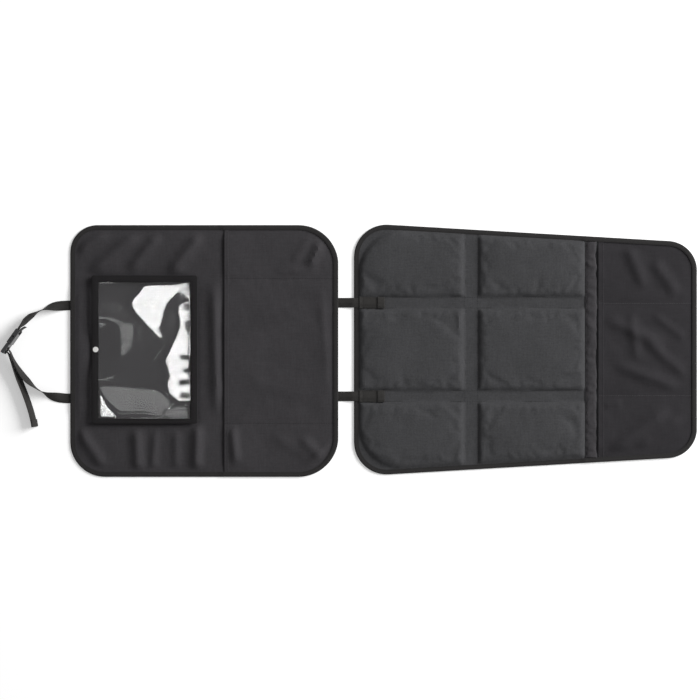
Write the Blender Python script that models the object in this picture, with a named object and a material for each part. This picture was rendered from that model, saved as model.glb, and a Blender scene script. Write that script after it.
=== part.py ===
"""Car seat protector, laid flat with its pockets and pads facing up.

Metres, +Z up. +X runs from the head loop to the seat panel's front edge, +Y is the
upper long side, and z = 0 is the surface that it lies on. The two panels are bound
cloth, joined by two webbing straps, and the head loop closes with a side-release buckle.
"""

import math

import bmesh
import bpy
from mathutils import Matrix, Vector

# Cloth, tape, webbing and the clearance between layers that touch
CLOTH = 0.0006
HEM = 0.0012
TAPE = 0.0008
WEBBING = 0.0012
STRAP_WIDTH = 0.019
GAP = 0.0003
BINDING_WIDTH = 0.0095

# Back panel: x from its head end, y from its own centre line
BACK_LENGTH = 0.523
BACK_WIDTH = 0.491
BACK_CENTRE_Y = -0.0023
BACK_HEAD_CORNER_LOW = 0.068
BACK_HEAD_CORNER_HIGH = 0.053
BACK_SEAT_CORNER = 0.078
LOW_POCKET_MOUTH = 0.301
LOW_POCKET_HEM_WIDTH = 0.0064
LOW_POCKET_SIDE = 0.1045
LOW_POCKET_SLACK = 0.0015

# Tablet pocket on the back panel
TABLET_START = 0.0425
TABLET_LENGTH = 0.206
TABLET_WIDTH = 0.289
TABLET_CENTRE_Y = 0.0006
TABLET_HEIGHT = 0.0100
FRAME_THICK = 0.0016
FRAME_MOUTH_BAR = 0.0133
FRAME_FAR_BAR = 0.0146
FRAME_HIGH_BAR = 0.0135
FRAME_LOW_BAR = 0.0101
FRAME_CORNER = 0.0040
FILM = 0.0004
FILM_CROWN = 0.0014
FILM_LAP = 0.0050
GUSSET_THICK = 0.0008
GUSSET_INSET = 0.0025
GUSSET_FOOT = 0.0060

# Press stud in the middle of the tablet pocket's mouth
STUD_CAP_RADIUS = 0.0056
STUD_CAP_DOME = 0.0011
STUD_FLANGE = 0.0005
STUD_RIVET_RADIUS = 0.0014
STUD_SOCKET_RADIUS = 0.0050
STUD_SOCKET_HEIGHT = 0.0019
STUD_BALL_RADIUS = 0.0022
STUD_BALL_HEIGHT = 0.0017
STUD_WALL = 0.0006
STUD_FLAT = 0.0070
STUD_DIP_LENGTH = 0.058
STUD_DIP_WIDTH = 0.062

# Seat panel: x from its rear end, y from its own centre line
PANEL_GAP = 0.030
SEAT_LENGTH = 0.669
SEAT_REAR_WIDTH = 0.495
SEAT_FRONT_WIDTH = 0.417
SEAT_CENTRE_Y = 0.0005
SEAT_REAR_CORNER = 0.064
SEAT_FRONT_CORNER = 0.058
FOAM = 0.0050
PAD_EDGE_INSET = 0.0110
PAD_SHOULDER = 0.0080
PAD_COLUMN_SPLIT = 0.2285
PAD_COLUMN_CHANNEL = 0.0290
PAD_ROW_SPLIT = 0.0912
PAD_ROW_CHANNEL = 0.0236
PADS_END = 0.4500
PAD_CORNER_EXTRA = 0.0280
FOAM_CLEARANCE = 0.0050
FOAM_CHAMFER = 0.0090
FOAM_CHAMFER_DROP = 0.0044
FOAM_CORNER_EXTRA = 0.0600
FOAM_CORNER_START = 0.0060
STRIP_WIDTH = 0.0225
STRIP_RISE = 0.0034
STRIP_START = 0.4515
STRIP_RIPPLE = 0.0007
STRIP_RIPPLE_PITCH = 0.058
FRONT_MOUTH = 0.4765
FRONT_HEM_WIDTH = 0.0098
FRONT_SEAM_Y = 0.0900
FRONT_SLACK = 0.0020

# Link straps between the panels, and the tabs that cover their ends
LINK_ROOT = 0.0300
LINK_TAB_START = 0.0110
LINK_TAB_LENGTH = 0.0490
LINK_TAB_FOLD = 0.0135
LINK_END_LAP = 0.0290

# Head loop
LOOP_REACH = 0.1326
HEAD_PITCH = 0.1812
HEAD_CENTRE_Y = -0.0042
HEAD_ROOT = 0.0280
BUCKLE_END_Y = 0.0386
BUCKLE_ANGLE = math.radians(54.4)
BUCKLE_LEAN = math.radians(7.0)
STRAP_LEAN = math.radians(31.0)
TAIL_END_REACH = 0.0692
TAIL_END_Y = -0.1488
TAIL_END_HEM = 0.0130
RETURN_LAP = 0.0120
RETURN_FLARE = 0.0042
UPPER_LEAVE = 0.050
UPPER_ARRIVE = 0.030
LOWER_LEAVE = 0.057
LOWER_ARRIVE = 0.052
TAIL_LEAVE = 0.045
SOCKET_LEAD = 0.0045
PLUG_LEAD = 0.0060
LEG_WAY = (0.34, -0.94)
TAIL_WAY = (0.146, -0.989)

# Side-release buckle
BAR_THICK = 0.0035
BAR_LENGTH = 0.0032
SLOT_LENGTH = 0.0046
SLOT_SIDE = 0.0008
BUCKLE_WALL = 0.0032
BUCKLE_THICK = 0.0095
SOCKET_LENGTH = 0.0330
PLUG_SHOWN = 0.0220
PLUG_THICK = 0.0070
SHELL = 0.0014
SOCKET_ROUND = 0.0014
PLUG_ROUND = 0.0012
ARM_WIDTH = 0.0036
ARM_LENGTH = 0.0190
PRONG_WIDTH = 0.0042
PRONG_LENGTH = 0.0120
WINDOW_LENGTH = 0.0120
WINDOW_START = 0.0070

# How finely curves are divided
CORNER_STEPS = 6
UPPER_STRAP_STEPS = 26
LOWER_STRAP_STEPS = 28
TAIL_STEPS = 18
LINE_LEAST = 0.0009

BLACK_CLOTH = (0.042, 0.040, 0.043)
SEAT_CLOTH = (0.056, 0.056, 0.058)
POCKET_CLOTH = (0.034, 0.032, 0.035)
TAPE_BLACK = (0.028, 0.026, 0.025)
WEBBING_BLACK = (0.037, 0.035, 0.034)
PLASTIC_BLACK = (0.040, 0.040, 0.042)
FOAM_GREY = (0.30, 0.30, 0.31)
BACKING_GREY = (0.050, 0.050, 0.052)
FILM_CLEAR = (0.85, 0.87, 0.88)
METAL = (0.80, 0.79, 0.77)

TOTAL_LENGTH = LOOP_REACH + BACK_LENGTH + PANEL_GAP + SEAT_LENGTH
BACK_X = LOOP_REACH - TOTAL_LENGTH / 2
SEAT_X = BACK_X + BACK_LENGTH + PANEL_GAP
FOLD = TAPE + GAP
STRAP_LIFT = WEBBING + GAP


def clear_scene():
    for thing in list(bpy.data.objects):
        bpy.data.objects.remove(thing, do_unlink=True)


def material(name, colour, roughness, metallic=0.0, alpha=1.0):
    made = bpy.data.materials.new(name)
    made.use_nodes = True
    shader = made.node_tree.nodes["Principled BSDF"]
    shader.inputs["Base Color"].default_value = (*colour, 1.0)
    shader.inputs["Roughness"].default_value = roughness
    shader.inputs["Metallic"].default_value = metallic
    shader.inputs["Alpha"].default_value = alpha
    made.diffuse_color = (*colour, alpha)
    return made


def add_object(name, bm, finish, smooth_angle=None, matrix=None):
    bmesh.ops.recalc_face_normals(bm, faces=bm.faces[:])
    mesh = bpy.data.meshes.new(name)
    bm.to_mesh(mesh)
    bm.free()
    mesh.materials.append(finish)
    if smooth_angle is not None:
        mesh.shade_smooth()
        mesh.set_sharp_from_angle(angle=smooth_angle)
    made = bpy.data.objects.new(name, mesh)
    bpy.context.scene.collection.objects.link(made)
    if matrix is not None:
        made.matrix_world = matrix
    return made


def ramp(value, start, end):
    """0 before start, 1 after end, and smooth between them."""
    t = min(1.0, max(0.0, (value - start) / (end - start)))
    return t * t * (3 - 2 * t)


def bump(distance, reach):
    """1 at a distance of 0, falling smoothly to 0 at reach."""
    return 1 - ramp(abs(distance), 0.0, reach)


def tidy_lines(values, least):
    """The values in order, without those that lie closer than least to the one before."""
    kept = []
    for value in sorted(values):
        if not kept or value - kept[-1] > least:
            kept.append(value)
    return kept


class Outline:
    """A panel's cloth edge: straight ends, long edges that may taper, and four round corners."""

    def __init__(self, start, length, centre, widths, corners, inset):
        self.x0 = start + inset
        self.x1 = start + length - inset
        self.centre = centre
        self.slope = (widths[1] - widths[0]) / 2 / length
        self.lean = math.hypot(1, self.slope)
        self.base = widths[0] / 2 - inset * self.lean - self.slope * start
        self.low = (corners[0][0] - inset, corners[1][0] - inset)
        self.high = (corners[0][1] - inset, corners[1][1] - inset)

    def line(self, x):
        return self.base + self.slope * x

    def half(self, x, corners):
        """The distance from the centre line to the edge at x."""
        first, last = corners
        centre = self.x0 + first
        if x < centre - first * self.slope / self.lean:
            rise = math.sqrt(max(0.0, first**2 - (x - centre) ** 2))
            return self.line(centre) - first * self.lean + rise
        centre = self.x1 - last
        if x > centre - last * self.slope / self.lean:
            rise = math.sqrt(max(0.0, last**2 - (x - centre) ** 2))
            return self.line(centre) - last * self.lean + rise
        return self.line(x)

    def limits(self, x):
        return self.centre - self.half(x, self.low), self.centre + self.half(x, self.high)

    def inset_at(self, x, y):
        """How far inside the edge a point lies."""
        corners = self.high if y > self.centre else self.low
        across = abs(y - self.centre)
        found = [x - self.x0, self.x1 - x, (self.line(x) - across) / self.lean]
        ends = ((self.x0 + corners[0], corners[0], -1), (self.x1 - corners[1], corners[1], 1))
        for middle, radius, side in ends:
            up = across - (self.line(middle) - radius * self.lean)
            along = (x - middle) * side
            if up > 0 and along > 0:
                found.append(radius - math.hypot(along, up))
        return min(found)

    def corner_columns(self):
        """The x of points at even angles round the corners at both ends."""
        angles = [math.pi / 2 * k / CORNER_STEPS for k in range(CORNER_STEPS + 1)]
        first = max(self.low[0], self.high[0])
        last = max(self.low[1], self.high[1])
        starts = [self.x0 + first * (1 - math.cos(a)) for a in angles]
        return starts + [self.x1 - last * (1 - math.cos(a)) for a in angles]


class Sheet:
    """A grid of cloth that fills an outline from one column to another.

    Each row is ("low", d), ("mid", y) or ("high", d): d in from the lower or upper edge,
    or a fixed distance y from the centre line.
    """

    def __init__(self, outline, columns, rows):
        self.outline = outline
        self.columns = columns
        self.rows = rows

    def place(self, i, j):
        x = self.columns[i]
        low, high = self.outline.limits(x)
        kind, amount = self.rows[j]
        if kind == "low":
            return x, low + amount
        if kind == "high":
            return x, high - amount
        return x, self.outline.centre + amount

    def rim(self):
        """The points round the edge, anticlockwise."""
        across, up = len(self.columns) - 1, len(self.rows) - 1
        found = [self.place(i, 0) for i in range(across)]
        found += [self.place(across, j) for j in range(up)]
        found += [self.place(i, up) for i in range(across, 0, -1)]
        return found + [self.place(0, j) for j in range(up, 0, -1)]

    def build(self, name, underside, thickness, finish, window=None):
        """Makes the sheet as a closed solid over its underside's height, open at the window."""
        across, up = len(self.columns) - 1, len(self.rows) - 1
        bm = bmesh.new()
        bmesh.ops.create_grid(bm, x_segments=across, y_segments=up, size=0.5)
        for vert in bm.verts:
            i = round((vert.co.x + 0.5) * across)
            j = round((vert.co.y + 0.5) * up)
            x, y = self.place(i, j)
            vert.co = Vector((x, y, underside(x, y)))
        if window:
            x0, x1, y0, y1 = window
            middles = [(face, face.calc_center_median()) for face in bm.faces]
            inside = [face for face, m in middles if x0 < m.x < x1 and y0 < m.y < y1]
            bmesh.ops.delete(bm, geom=inside, context="FACES")
        grown = bmesh.ops.extrude_face_region(bm, geom=bm.faces[:], use_keep_orig=True)
        for item in grown["geom"]:
            if isinstance(item, bmesh.types.BMVert):
                item.co.z += thickness(item.co.x, item.co.y)
        return add_object(name, bm, finish, math.radians(40))


def offset_ring(points, distance):
    """A closed polygon moved outwards by a distance, with mitred corners."""
    moved = []
    count = len(points)
    for k in range(count):
        here = Vector(points[k])
        before = (here - Vector(points[k - 1])).normalized()
        after = (Vector(points[(k + 1) % count]) - here).normalized()
        side = Vector((before.y + after.y, -before.x - after.x)).normalized()
        square = side.dot(Vector((before.y, -before.x)))
        moved.append(here + side * (distance / square))
    return moved


def skin(bm, sections, closed, twisted=False):
    """Joins sections of equal point count, and caps the ends of an open run.

    A twisted strip's two wide sides are split along the same diagonal, which keeps it as
    thick as its sections.
    """
    rings = [[bm.verts.new(point) for point in section] for section in sections]
    count = len(rings)
    for k in range(count if closed else count - 1):
        here, there = rings[k], rings[(k + 1) % count]
        for m in range(len(here)):
            n = (m + 1) % len(here)
            if twisted and m == 0:
                bm.faces.new((here[m], here[n], there[n]))
                bm.faces.new((here[m], there[n], there[m]))
            elif twisted and m == 2:
                bm.faces.new((here[m], here[n], there[m]))
                bm.faces.new((here[n], there[n], there[m]))
            else:
                bm.faces.new((here[m], here[n], there[n], there[m]))
    if not closed:
        bm.faces.new(reversed(rings[0]))
        bm.faces.new(rings[-1])


def binding(name, rim, floor_lift, top_underside, finish):
    """Folded tape round a panel's edge: a leg under it, a fold outside it and a leg on top."""
    inner = offset_ring(rim, -(BINDING_WIDTH - FOLD))
    wall_in = offset_ring(rim, GAP)
    wall_out = offset_ring(rim, FOLD)
    sections = []
    for k in range(len(rim)):
        low = floor_lift(*rim[k])
        high = top_underside(*rim[k])
        heights = (low, low, high + TAPE, high + TAPE, high, high, low + TAPE, low + TAPE)
        places = (inner, wall_out, wall_out, inner, inner, wall_in, wall_in, inner)
        sections.append([(*ring[k], z) for ring, z in zip(places, heights)])
    bm = bmesh.new()
    skin(bm, sections, closed=True)
    return add_object(name, bm, finish, math.radians(40))


def bezier(first, second, third, fourth, t):
    """A point on a cubic curve."""
    s = 1 - t
    return first * s**3 + second * 3 * s * s * t + third * 3 * s * t * t + fourth * t**3


def ribbon_solid(name, path, finish, thickness=WEBBING, width=STRAP_WIDTH):
    """Webbing along a path of (centre, direction of its width, direction of travel or None)."""
    sections = []
    last = len(path) - 1
    for k, (centre, across, along) in enumerate(path):
        if along is None:
            along = (path[min(k + 1, last)][0] - path[max(k - 1, 0)][0]).normalized()
        across = (across - along * across.dot(along)).normalized()
        face = along.cross(across)
        side, rise = across * width / 2, face * thickness / 2
        low = [centre - side - rise, centre + side - rise]
        sections.append(low + [centre + side + rise, centre - side + rise])
    bm = bmesh.new()
    skin(bm, sections, closed=False, twisted=True)
    return add_object(name, bm, finish, math.radians(40))


def box(bm, low, high):
    """A box between two corners."""
    size = [high[k] - low[k] for k in range(3)]
    middle = Matrix.Translation([(high[k] + low[k]) / 2 for k in range(3)])
    bmesh.ops.create_cube(bm, size=1.0, matrix=middle @ Matrix.Diagonal((*size, 1.0)))


def turned(name, profile, centre, finish, sides=16):
    """A closed ring or disc turned from a profile of (radius, height)."""
    bm = bmesh.new()
    corners = [bm.verts.new((radius, 0.0, height)) for radius, height in profile]
    edges = [bm.edges.new((corners[k], corners[(k + 1) % len(corners)])) for k in range(len(corners))]
    bmesh.ops.spin(
        bm, geom=corners + edges, axis=(0, 0, 1), cent=(0, 0, 0), angle=math.tau, steps=sides, use_merge=True
    )
    bmesh.ops.remove_doubles(bm, verts=bm.verts[:], dist=0.000001)
    bmesh.ops.dissolve_degenerate(bm, edges=bm.edges[:], dist=0.000001)
    return add_object(name, bm, finish, math.radians(35), Matrix.Translation(centre))


def cut(target, cutter):
    """Takes the cutter's shape out of the target."""
    cutter.hide_render = True
    cutter.display_type = "WIRE"
    carve = target.modifiers.new("cut_" + cutter.name, "BOOLEAN")
    carve.operation = "DIFFERENCE"
    carve.solver = "EXACT"
    carve.object = cutter


def hole(target, centre, radius, depth, finish):
    """Punches a round hole straight down through a layer of cloth."""
    bm = bmesh.new()
    bmesh.ops.create_cone(
        bm, cap_ends=True, segments=16, radius1=radius, radius2=radius, depth=depth, matrix=Matrix.Translation(centre)
    )
    cut(target, add_object("hole_in_" + target.name, bm, finish))


# The back panel's outline, its layers and their heights
BACK = Outline(
    BACK_X,
    BACK_LENGTH,
    BACK_CENTRE_Y,
    (BACK_WIDTH, BACK_WIDTH),
    ((BACK_HEAD_CORNER_LOW, BACK_HEAD_CORNER_HIGH), (BACK_SEAT_CORNER, BACK_SEAT_CORNER)),
    FOLD,
)
BACK_END = BACK_X + BACK_LENGTH
LOW_POCKET_SEAM_Y = BACK_WIDTH / 2 - LOW_POCKET_SIDE
LOW_MOUTH_X = BACK_X + LOW_POCKET_MOUTH
LIFT_HALF = HEAD_PITCH / 2 + STRAP_WIDTH / 2 + 0.0050
LIFT_FADE = 0.028
HEAD_LIFT_FADE = TABLET_START - HEAD_ROOT - 0.0005
LINK_LIFT_FADE = 0.035
BELOW_MOUTH = 0.012
EDGE_LINES = (0.0, 0.008, 0.018)
MIDDLE_LINES = (0.030, 0.060)


def strap_lift(x, y):
    """How far the panel rises over the strap ends that are sewn under its two ends."""
    across = 1 - ramp(abs(y - BACK_CENTRE_Y), LIFT_HALF, LIFT_HALF + LIFT_FADE)
    head = 1 - ramp(x - BACK_X, HEAD_ROOT, HEAD_ROOT + HEAD_LIFT_FADE)
    link = 1 - ramp(BACK_END - x, LINK_ROOT, LINK_ROOT + LINK_LIFT_FADE)
    return STRAP_LIFT * across * max(head, link)


def back_underside(x, y):
    return FOLD + strap_lift(x, y)


def back_top(x, y):
    return back_underside(x, y) + CLOTH


def low_pocket_slack(x, y):
    """The pocket's mouth stands a little open between its seams."""
    offsets = (-BACK_WIDTH / 2, -LOW_POCKET_SEAM_Y, LOW_POCKET_SEAM_Y, BACK_WIDTH / 2)
    seams = [BACK_CENTRE_Y + offset for offset in offsets]
    ends = seams[1:]
    span = next(((a, b) for a, b in zip(seams, ends) if a <= y <= b), (seams[0], seams[1]))
    share = (y - span[0]) / (span[1] - span[0])
    edge = ramp(BACK.inset_at(x, y), BINDING_WIDTH, 3 * BINDING_WIDTH)
    return LOW_POCKET_SLACK * math.sin(math.pi * share) * bump(x - LOW_MOUTH_X, 0.090) * edge


def low_pocket_underside(x, y):
    return back_top(x, y) + GAP + low_pocket_slack(x, y)


def low_pocket_thickness(x, y):
    return HEM if x < LOW_MOUTH_X + LOW_POCKET_HEM_WIDTH + 0.0001 else CLOTH


def back_leg(x, y):
    """The underside of the binding's upper leg: over one layer, or over the pocket's hem too."""
    pocket = ramp(x, LOW_MOUTH_X - BELOW_MOUTH, LOW_MOUTH_X - 0.001)
    return back_top(x, y) + GAP + (HEM + GAP) * pocket


def back_grid():
    columns = BACK.corner_columns()
    columns += [BACK_X + HEAD_ROOT, BACK_X + HEAD_ROOT + HEAD_LIFT_FADE / 2, BACK_X + TABLET_START]
    columns += [BACK_X + share * BACK_LENGTH for share in (0.2, 0.28, 0.36, 0.44, 0.52, 0.66, 0.74)]
    columns += [LOW_MOUTH_X - BELOW_MOUTH, LOW_MOUTH_X, LOW_MOUTH_X + LOW_POCKET_HEM_WIDTH]
    columns += [LOW_MOUTH_X + LOW_POCKET_HEM_WIDTH + 0.0012]
    columns += [BACK_END - LINK_ROOT, BACK_END - LINK_ROOT - LINK_LIFT_FADE / 2]
    columns += [BACK_END - LINK_ROOT - LINK_LIFT_FADE]
    lines = tidy_lines((*MIDDLE_LINES, LIFT_HALF, LIFT_HALF + LIFT_FADE / 2, LOW_POCKET_SEAM_Y), LINE_LEAST)
    rows = [("low", d) for d in EDGE_LINES]
    rows += [("mid", -y) for y in reversed(lines)] + [("mid", 0.0)] + [("mid", y) for y in lines]
    rows += [("high", d) for d in reversed(EDGE_LINES)]
    return tidy_lines(columns, LINE_LEAST), rows


def make_back_panel(finishes):
    columns, rows = back_grid()
    sheet = Sheet(BACK, columns, rows)
    panel = sheet.build("back_panel", back_underside, lambda x, y: CLOTH, finishes["cloth"])
    hole(panel, (*stud_centre(), FOLD + CLOTH / 2), STUD_RIVET_RADIUS + GAP, 4 * CLOTH, finishes["cloth"])
    pocket = Sheet(BACK, [x for x in columns if x > LOW_MOUTH_X - 0.0001], rows)
    pocket.build("lower_pocket", low_pocket_underside, low_pocket_thickness, finishes["cloth"])
    binding("back_binding", sheet.rim(), strap_lift, back_leg, finishes["tape"])


# The tablet pocket stands on the back panel on three gusset walls
TABLET_X = BACK_X + TABLET_START
FRAME_TOP = FOLD + CLOTH + TABLET_HEIGHT
FRAME_UNDER = FRAME_TOP - FRAME_THICK
STUD_SEAT = FOLD + CLOTH + GAP
SOCKET_BASE = STUD_SEAT + STUD_FLANGE + GAP
SOCKET_TOP = SOCKET_BASE + STUD_SOCKET_HEIGHT + STUD_FLANGE
DIPPED_UNDER = SOCKET_TOP + GAP

def stud_centre():
    return TABLET_X + FRAME_MOUTH_BAR * 0.57, TABLET_CENTRE_Y


def frame_underside(x, y):
    """Flat, but drawn down to the closed press stud in the middle of the mouth."""
    along = 1 - ramp(x - TABLET_X, FRAME_MOUTH_BAR, STUD_DIP_LENGTH)
    across = 1 - ramp(abs(y - TABLET_CENTRE_Y), STUD_FLAT, STUD_DIP_WIDTH)
    return FRAME_UNDER - (FRAME_UNDER - DIPPED_UNDER) * along * across


def film_underside(x, y):
    """The film lies under the frame and crowns a little inside it."""
    share_x = (x - TABLET_X - FRAME_MOUTH_BAR) / (TABLET_LENGTH - FRAME_MOUTH_BAR - FRAME_FAR_BAR)
    share_y = (y - TABLET_CENTRE_Y) / (TABLET_WIDTH / 2 - FRAME_HIGH_BAR)
    crown = max(0.0, 1 - (2 * share_x - 1) ** 2) * max(0.0, 1 - share_y**2)
    return frame_underside(x, y) - GAP - FILM + FILM_CROWN * crown


def tablet_lines():
    """The columns and rows that the frame and the film share."""
    columns = [FRAME_MOUTH_BAR, 0.026, 0.042, STUD_DIP_LENGTH, 0.090, 0.125, 0.160, TABLET_LENGTH - FRAME_FAR_BAR]
    halves = (STUD_FLAT, 0.020, 0.034, 0.048, STUD_DIP_WIDTH, 0.100)
    rows = [-y for y in reversed(halves)] + [0.0] + list(halves)
    rows = [-TABLET_WIDTH / 2 + FRAME_LOW_BAR] + rows + [TABLET_WIDTH / 2 - FRAME_HIGH_BAR]
    return [TABLET_X + x for x in columns], rows


def make_tablet_pocket(finishes):
    columns, rows = tablet_lines()
    half = TABLET_WIDTH / 2
    outline = Outline(
        TABLET_X,
        TABLET_LENGTH,
        TABLET_CENTRE_Y,
        (TABLET_WIDTH, TABLET_WIDTH),
        ((FRAME_CORNER, FRAME_CORNER), (FRAME_CORNER, FRAME_CORNER)),
        0.0,
    )
    corners = [FRAME_CORNER * share for share in (0.0, 0.3, 1.0)]
    edges = [TABLET_X + d for d in corners] + [TABLET_X + TABLET_LENGTH - d for d in corners]
    mids = [("mid", y) for y in rows]
    rims = [("low", 0.0)] + mids + [("high", 0.0)]
    frame = Sheet(outline, tidy_lines(columns + edges, LINE_LEAST), rims)
    window = (columns[0], columns[-1], TABLET_CENTRE_Y + rows[0], TABLET_CENTRE_Y + rows[-1])
    made = frame.build("tablet_frame", frame_underside, lambda x, y: FRAME_THICK, finishes["trim"], window)
    x, y = stud_centre()
    hole(made, (x, y, DIPPED_UNDER + FRAME_THICK / 2), STUD_RIVET_RADIUS + GAP, 2 * FRAME_THICK, finishes["trim"])
    lapped = [columns[0] - FILM_LAP] + columns + [columns[-1] + FILM_LAP]
    film_rows = [("mid", rows[0] - FILM_LAP)] + mids + [("mid", rows[-1] + FILM_LAP)]
    film = Sheet(outline, lapped, film_rows).build(
        "tablet_window", film_underside, lambda x, y: FILM, finishes["film"]
    )
    hole(film, (x, y, DIPPED_UNDER - GAP), STUD_SOCKET_RADIUS + 2 * GAP, 0.004, finishes["film"])
    make_gusset(half, finishes["trim"])
    make_stud(finishes["metal"])


def make_gusset(half, finish):
    """A wall on three sides with a foot turned in along the panel; the head end is the mouth."""
    low, high = FOLD + CLOTH + GAP, FRAME_UNDER - GAP
    insets = (GUSSET_INSET, GUSSET_INSET + GUSSET_FOOT, GUSSET_INSET + GUSSET_FOOT)
    insets += (GUSSET_INSET + GUSSET_THICK, GUSSET_INSET + GUSSET_THICK, GUSSET_INSET)
    heights = (low, low, low + GUSSET_THICK, low + GUSSET_THICK, high, high)
    mouth, far = TABLET_X + GUSSET_INSET, TABLET_X + TABLET_LENGTH
    sections = []
    for end, side in ((False, -1), (True, -1), (True, 1), (False, 1)):
        section = []
        for inset, height in zip(insets, heights):
            x = far - inset if end else mouth
            section.append((x, TABLET_CENTRE_Y + side * (half - inset), height))
        sections.append(section)
    bm = bmesh.new()
    skin(bm, sections, closed=False)
    add_object("tablet_gusset", bm, finish)


def make_stud(finish):
    """Cap and socket on the frame, stud and post on the panel, pressed together."""
    x, y = stud_centre()
    top = DIPPED_UNDER + FRAME_THICK + GAP
    dome = [(STUD_CAP_RADIUS, top), (STUD_CAP_RADIUS * 0.96, top + STUD_CAP_DOME * 0.45)]
    dome += [(STUD_CAP_RADIUS * 0.70, top + STUD_CAP_DOME * 0.85), (0.0, top + STUD_CAP_DOME)]
    stem_end = SOCKET_BASE + STUD_SOCKET_HEIGHT + STUD_FLANGE * 0.2
    cap = [(0.0, stem_end), (STUD_RIVET_RADIUS, stem_end), (STUD_RIVET_RADIUS, top)] + dome
    turned("snap_cap", cap, (x, y, 0), finish)
    bore = STUD_BALL_RADIUS + GAP
    plate = SOCKET_TOP - STUD_FLANGE
    socket = [(bore, SOCKET_BASE), (STUD_SOCKET_RADIUS, SOCKET_BASE), (STUD_SOCKET_RADIUS, SOCKET_TOP)]
    socket += [(STUD_RIVET_RADIUS + GAP, SOCKET_TOP), (STUD_RIVET_RADIUS + GAP, plate), (bore, plate)]
    turned("snap_socket", socket, (x, y, 0), finish)
    flange = STUD_SEAT + STUD_FLANGE
    ball = flange + STUD_BALL_HEIGHT
    hollow = STUD_BALL_RADIUS - STUD_WALL + 0.0001
    stud = [(hollow, STUD_SEAT), (STUD_SOCKET_RADIUS, STUD_SEAT), (STUD_SOCKET_RADIUS, flange)]
    stud += [(STUD_BALL_RADIUS * 0.9, flange), (STUD_BALL_RADIUS, flange + STUD_BALL_HEIGHT * 0.6)]
    stud += [(STUD_BALL_RADIUS * 0.7, ball), (0.0, ball), (0.0, ball - STUD_WALL), (hollow, ball - STUD_WALL)]
    turned("snap_stud", stud, (x, y, 0), finish)
    foot = GAP + STUD_FLANGE
    post = [(0.0, GAP), (STUD_SOCKET_RADIUS, GAP), (STUD_SOCKET_RADIUS, foot), (STUD_RIVET_RADIUS, foot)]
    post += [(STUD_RIVET_RADIUS, flange), (0.0, flange)]
    turned("snap_post", post, (x, y, 0), finish)


# The seat panel: a backing, six foam pads, a cover over them, and a pocket at the front
SEAT_WIDTHS = (SEAT_REAR_WIDTH, SEAT_FRONT_WIDTH)
SEAT_END = SEAT_X + SEAT_LENGTH
PADS_END_X = SEAT_X + PADS_END
FRONT_MOUTH_X = SEAT_X + FRONT_MOUTH
COVER_BASE = FOLD + CLOTH + GAP
STRIP_CLOSED = 2 * CLOTH + GAP


def seat_outline(inset, extra=0.0):
    """The seat panel's edge moved in by inset, with its corners rounder by extra."""
    rear, front = SEAT_REAR_CORNER + extra, SEAT_FRONT_CORNER + extra
    return Outline(SEAT_X, SEAT_LENGTH, SEAT_CENTRE_Y, SEAT_WIDTHS, ((rear, rear), (front, front)), inset)


SEAT = seat_outline(FOLD)
PAD_FOOT = seat_outline(PAD_EDGE_INSET, PAD_CORNER_EXTRA)


def pad_columns():
    half = PAD_COLUMN_CHANNEL / 2
    split = SEAT_X + PAD_COLUMN_SPLIT
    return (SEAT_X + PAD_EDGE_INSET, split - half), (split + half, PADS_END_X)


def pad_distance(x, y):
    """How far a point lies inside the nearest pad's foot."""
    across = abs(y - SEAT_CENTRE_Y)
    half = PAD_ROW_CHANNEL / 2
    along = max(min(x - start, end - x) for start, end in pad_columns())
    side = max(PAD_ROW_SPLIT - half - across, across - PAD_ROW_SPLIT - half)
    return min(along, side, PAD_FOOT.inset_at(x, y))


def cover_underside(x, y):
    rise = min(1.0, max(0.0, pad_distance(x, y) / PAD_SHOULDER))
    return COVER_BASE + (FOAM + GAP) * rise


def front_slack(x, y):
    """The front pocket's mouth gapes between its seams."""
    across = y - SEAT_CENTRE_Y
    span = PAD_ROW_SPLIT * 2 if abs(across) < FRONT_SEAM_Y else SEAT_REAR_WIDTH / 2 - FRONT_SEAM_Y
    share = across / span + 0.5 if abs(across) < FRONT_SEAM_Y else (abs(across) - FRONT_SEAM_Y) / span
    share = min(1.0, max(0.0, share))
    edge = ramp(SEAT.inset_at(x, y), BINDING_WIDTH, 3 * BINDING_WIDTH)
    return FRONT_SLACK * math.sin(math.pi * share) * bump(x - FRONT_MOUTH_X, 0.110) * edge


def front_pocket_underside(x, y):
    return COVER_BASE + CLOTH + GAP + front_slack(x, y)


def front_pocket_thickness(x, y):
    return HEM if x < FRONT_MOUTH_X + FRONT_HEM_WIDTH + 0.0001 else CLOTH


def seat_leg(x, y):
    """The underside of the binding's upper leg: over the cover, or over the pocket too."""
    front = ramp(x, PADS_END_X - PAD_SHOULDER, PADS_END_X)
    return COVER_BASE + CLOTH + GAP + (STRIP_CLOSED + GAP) * front


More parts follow.
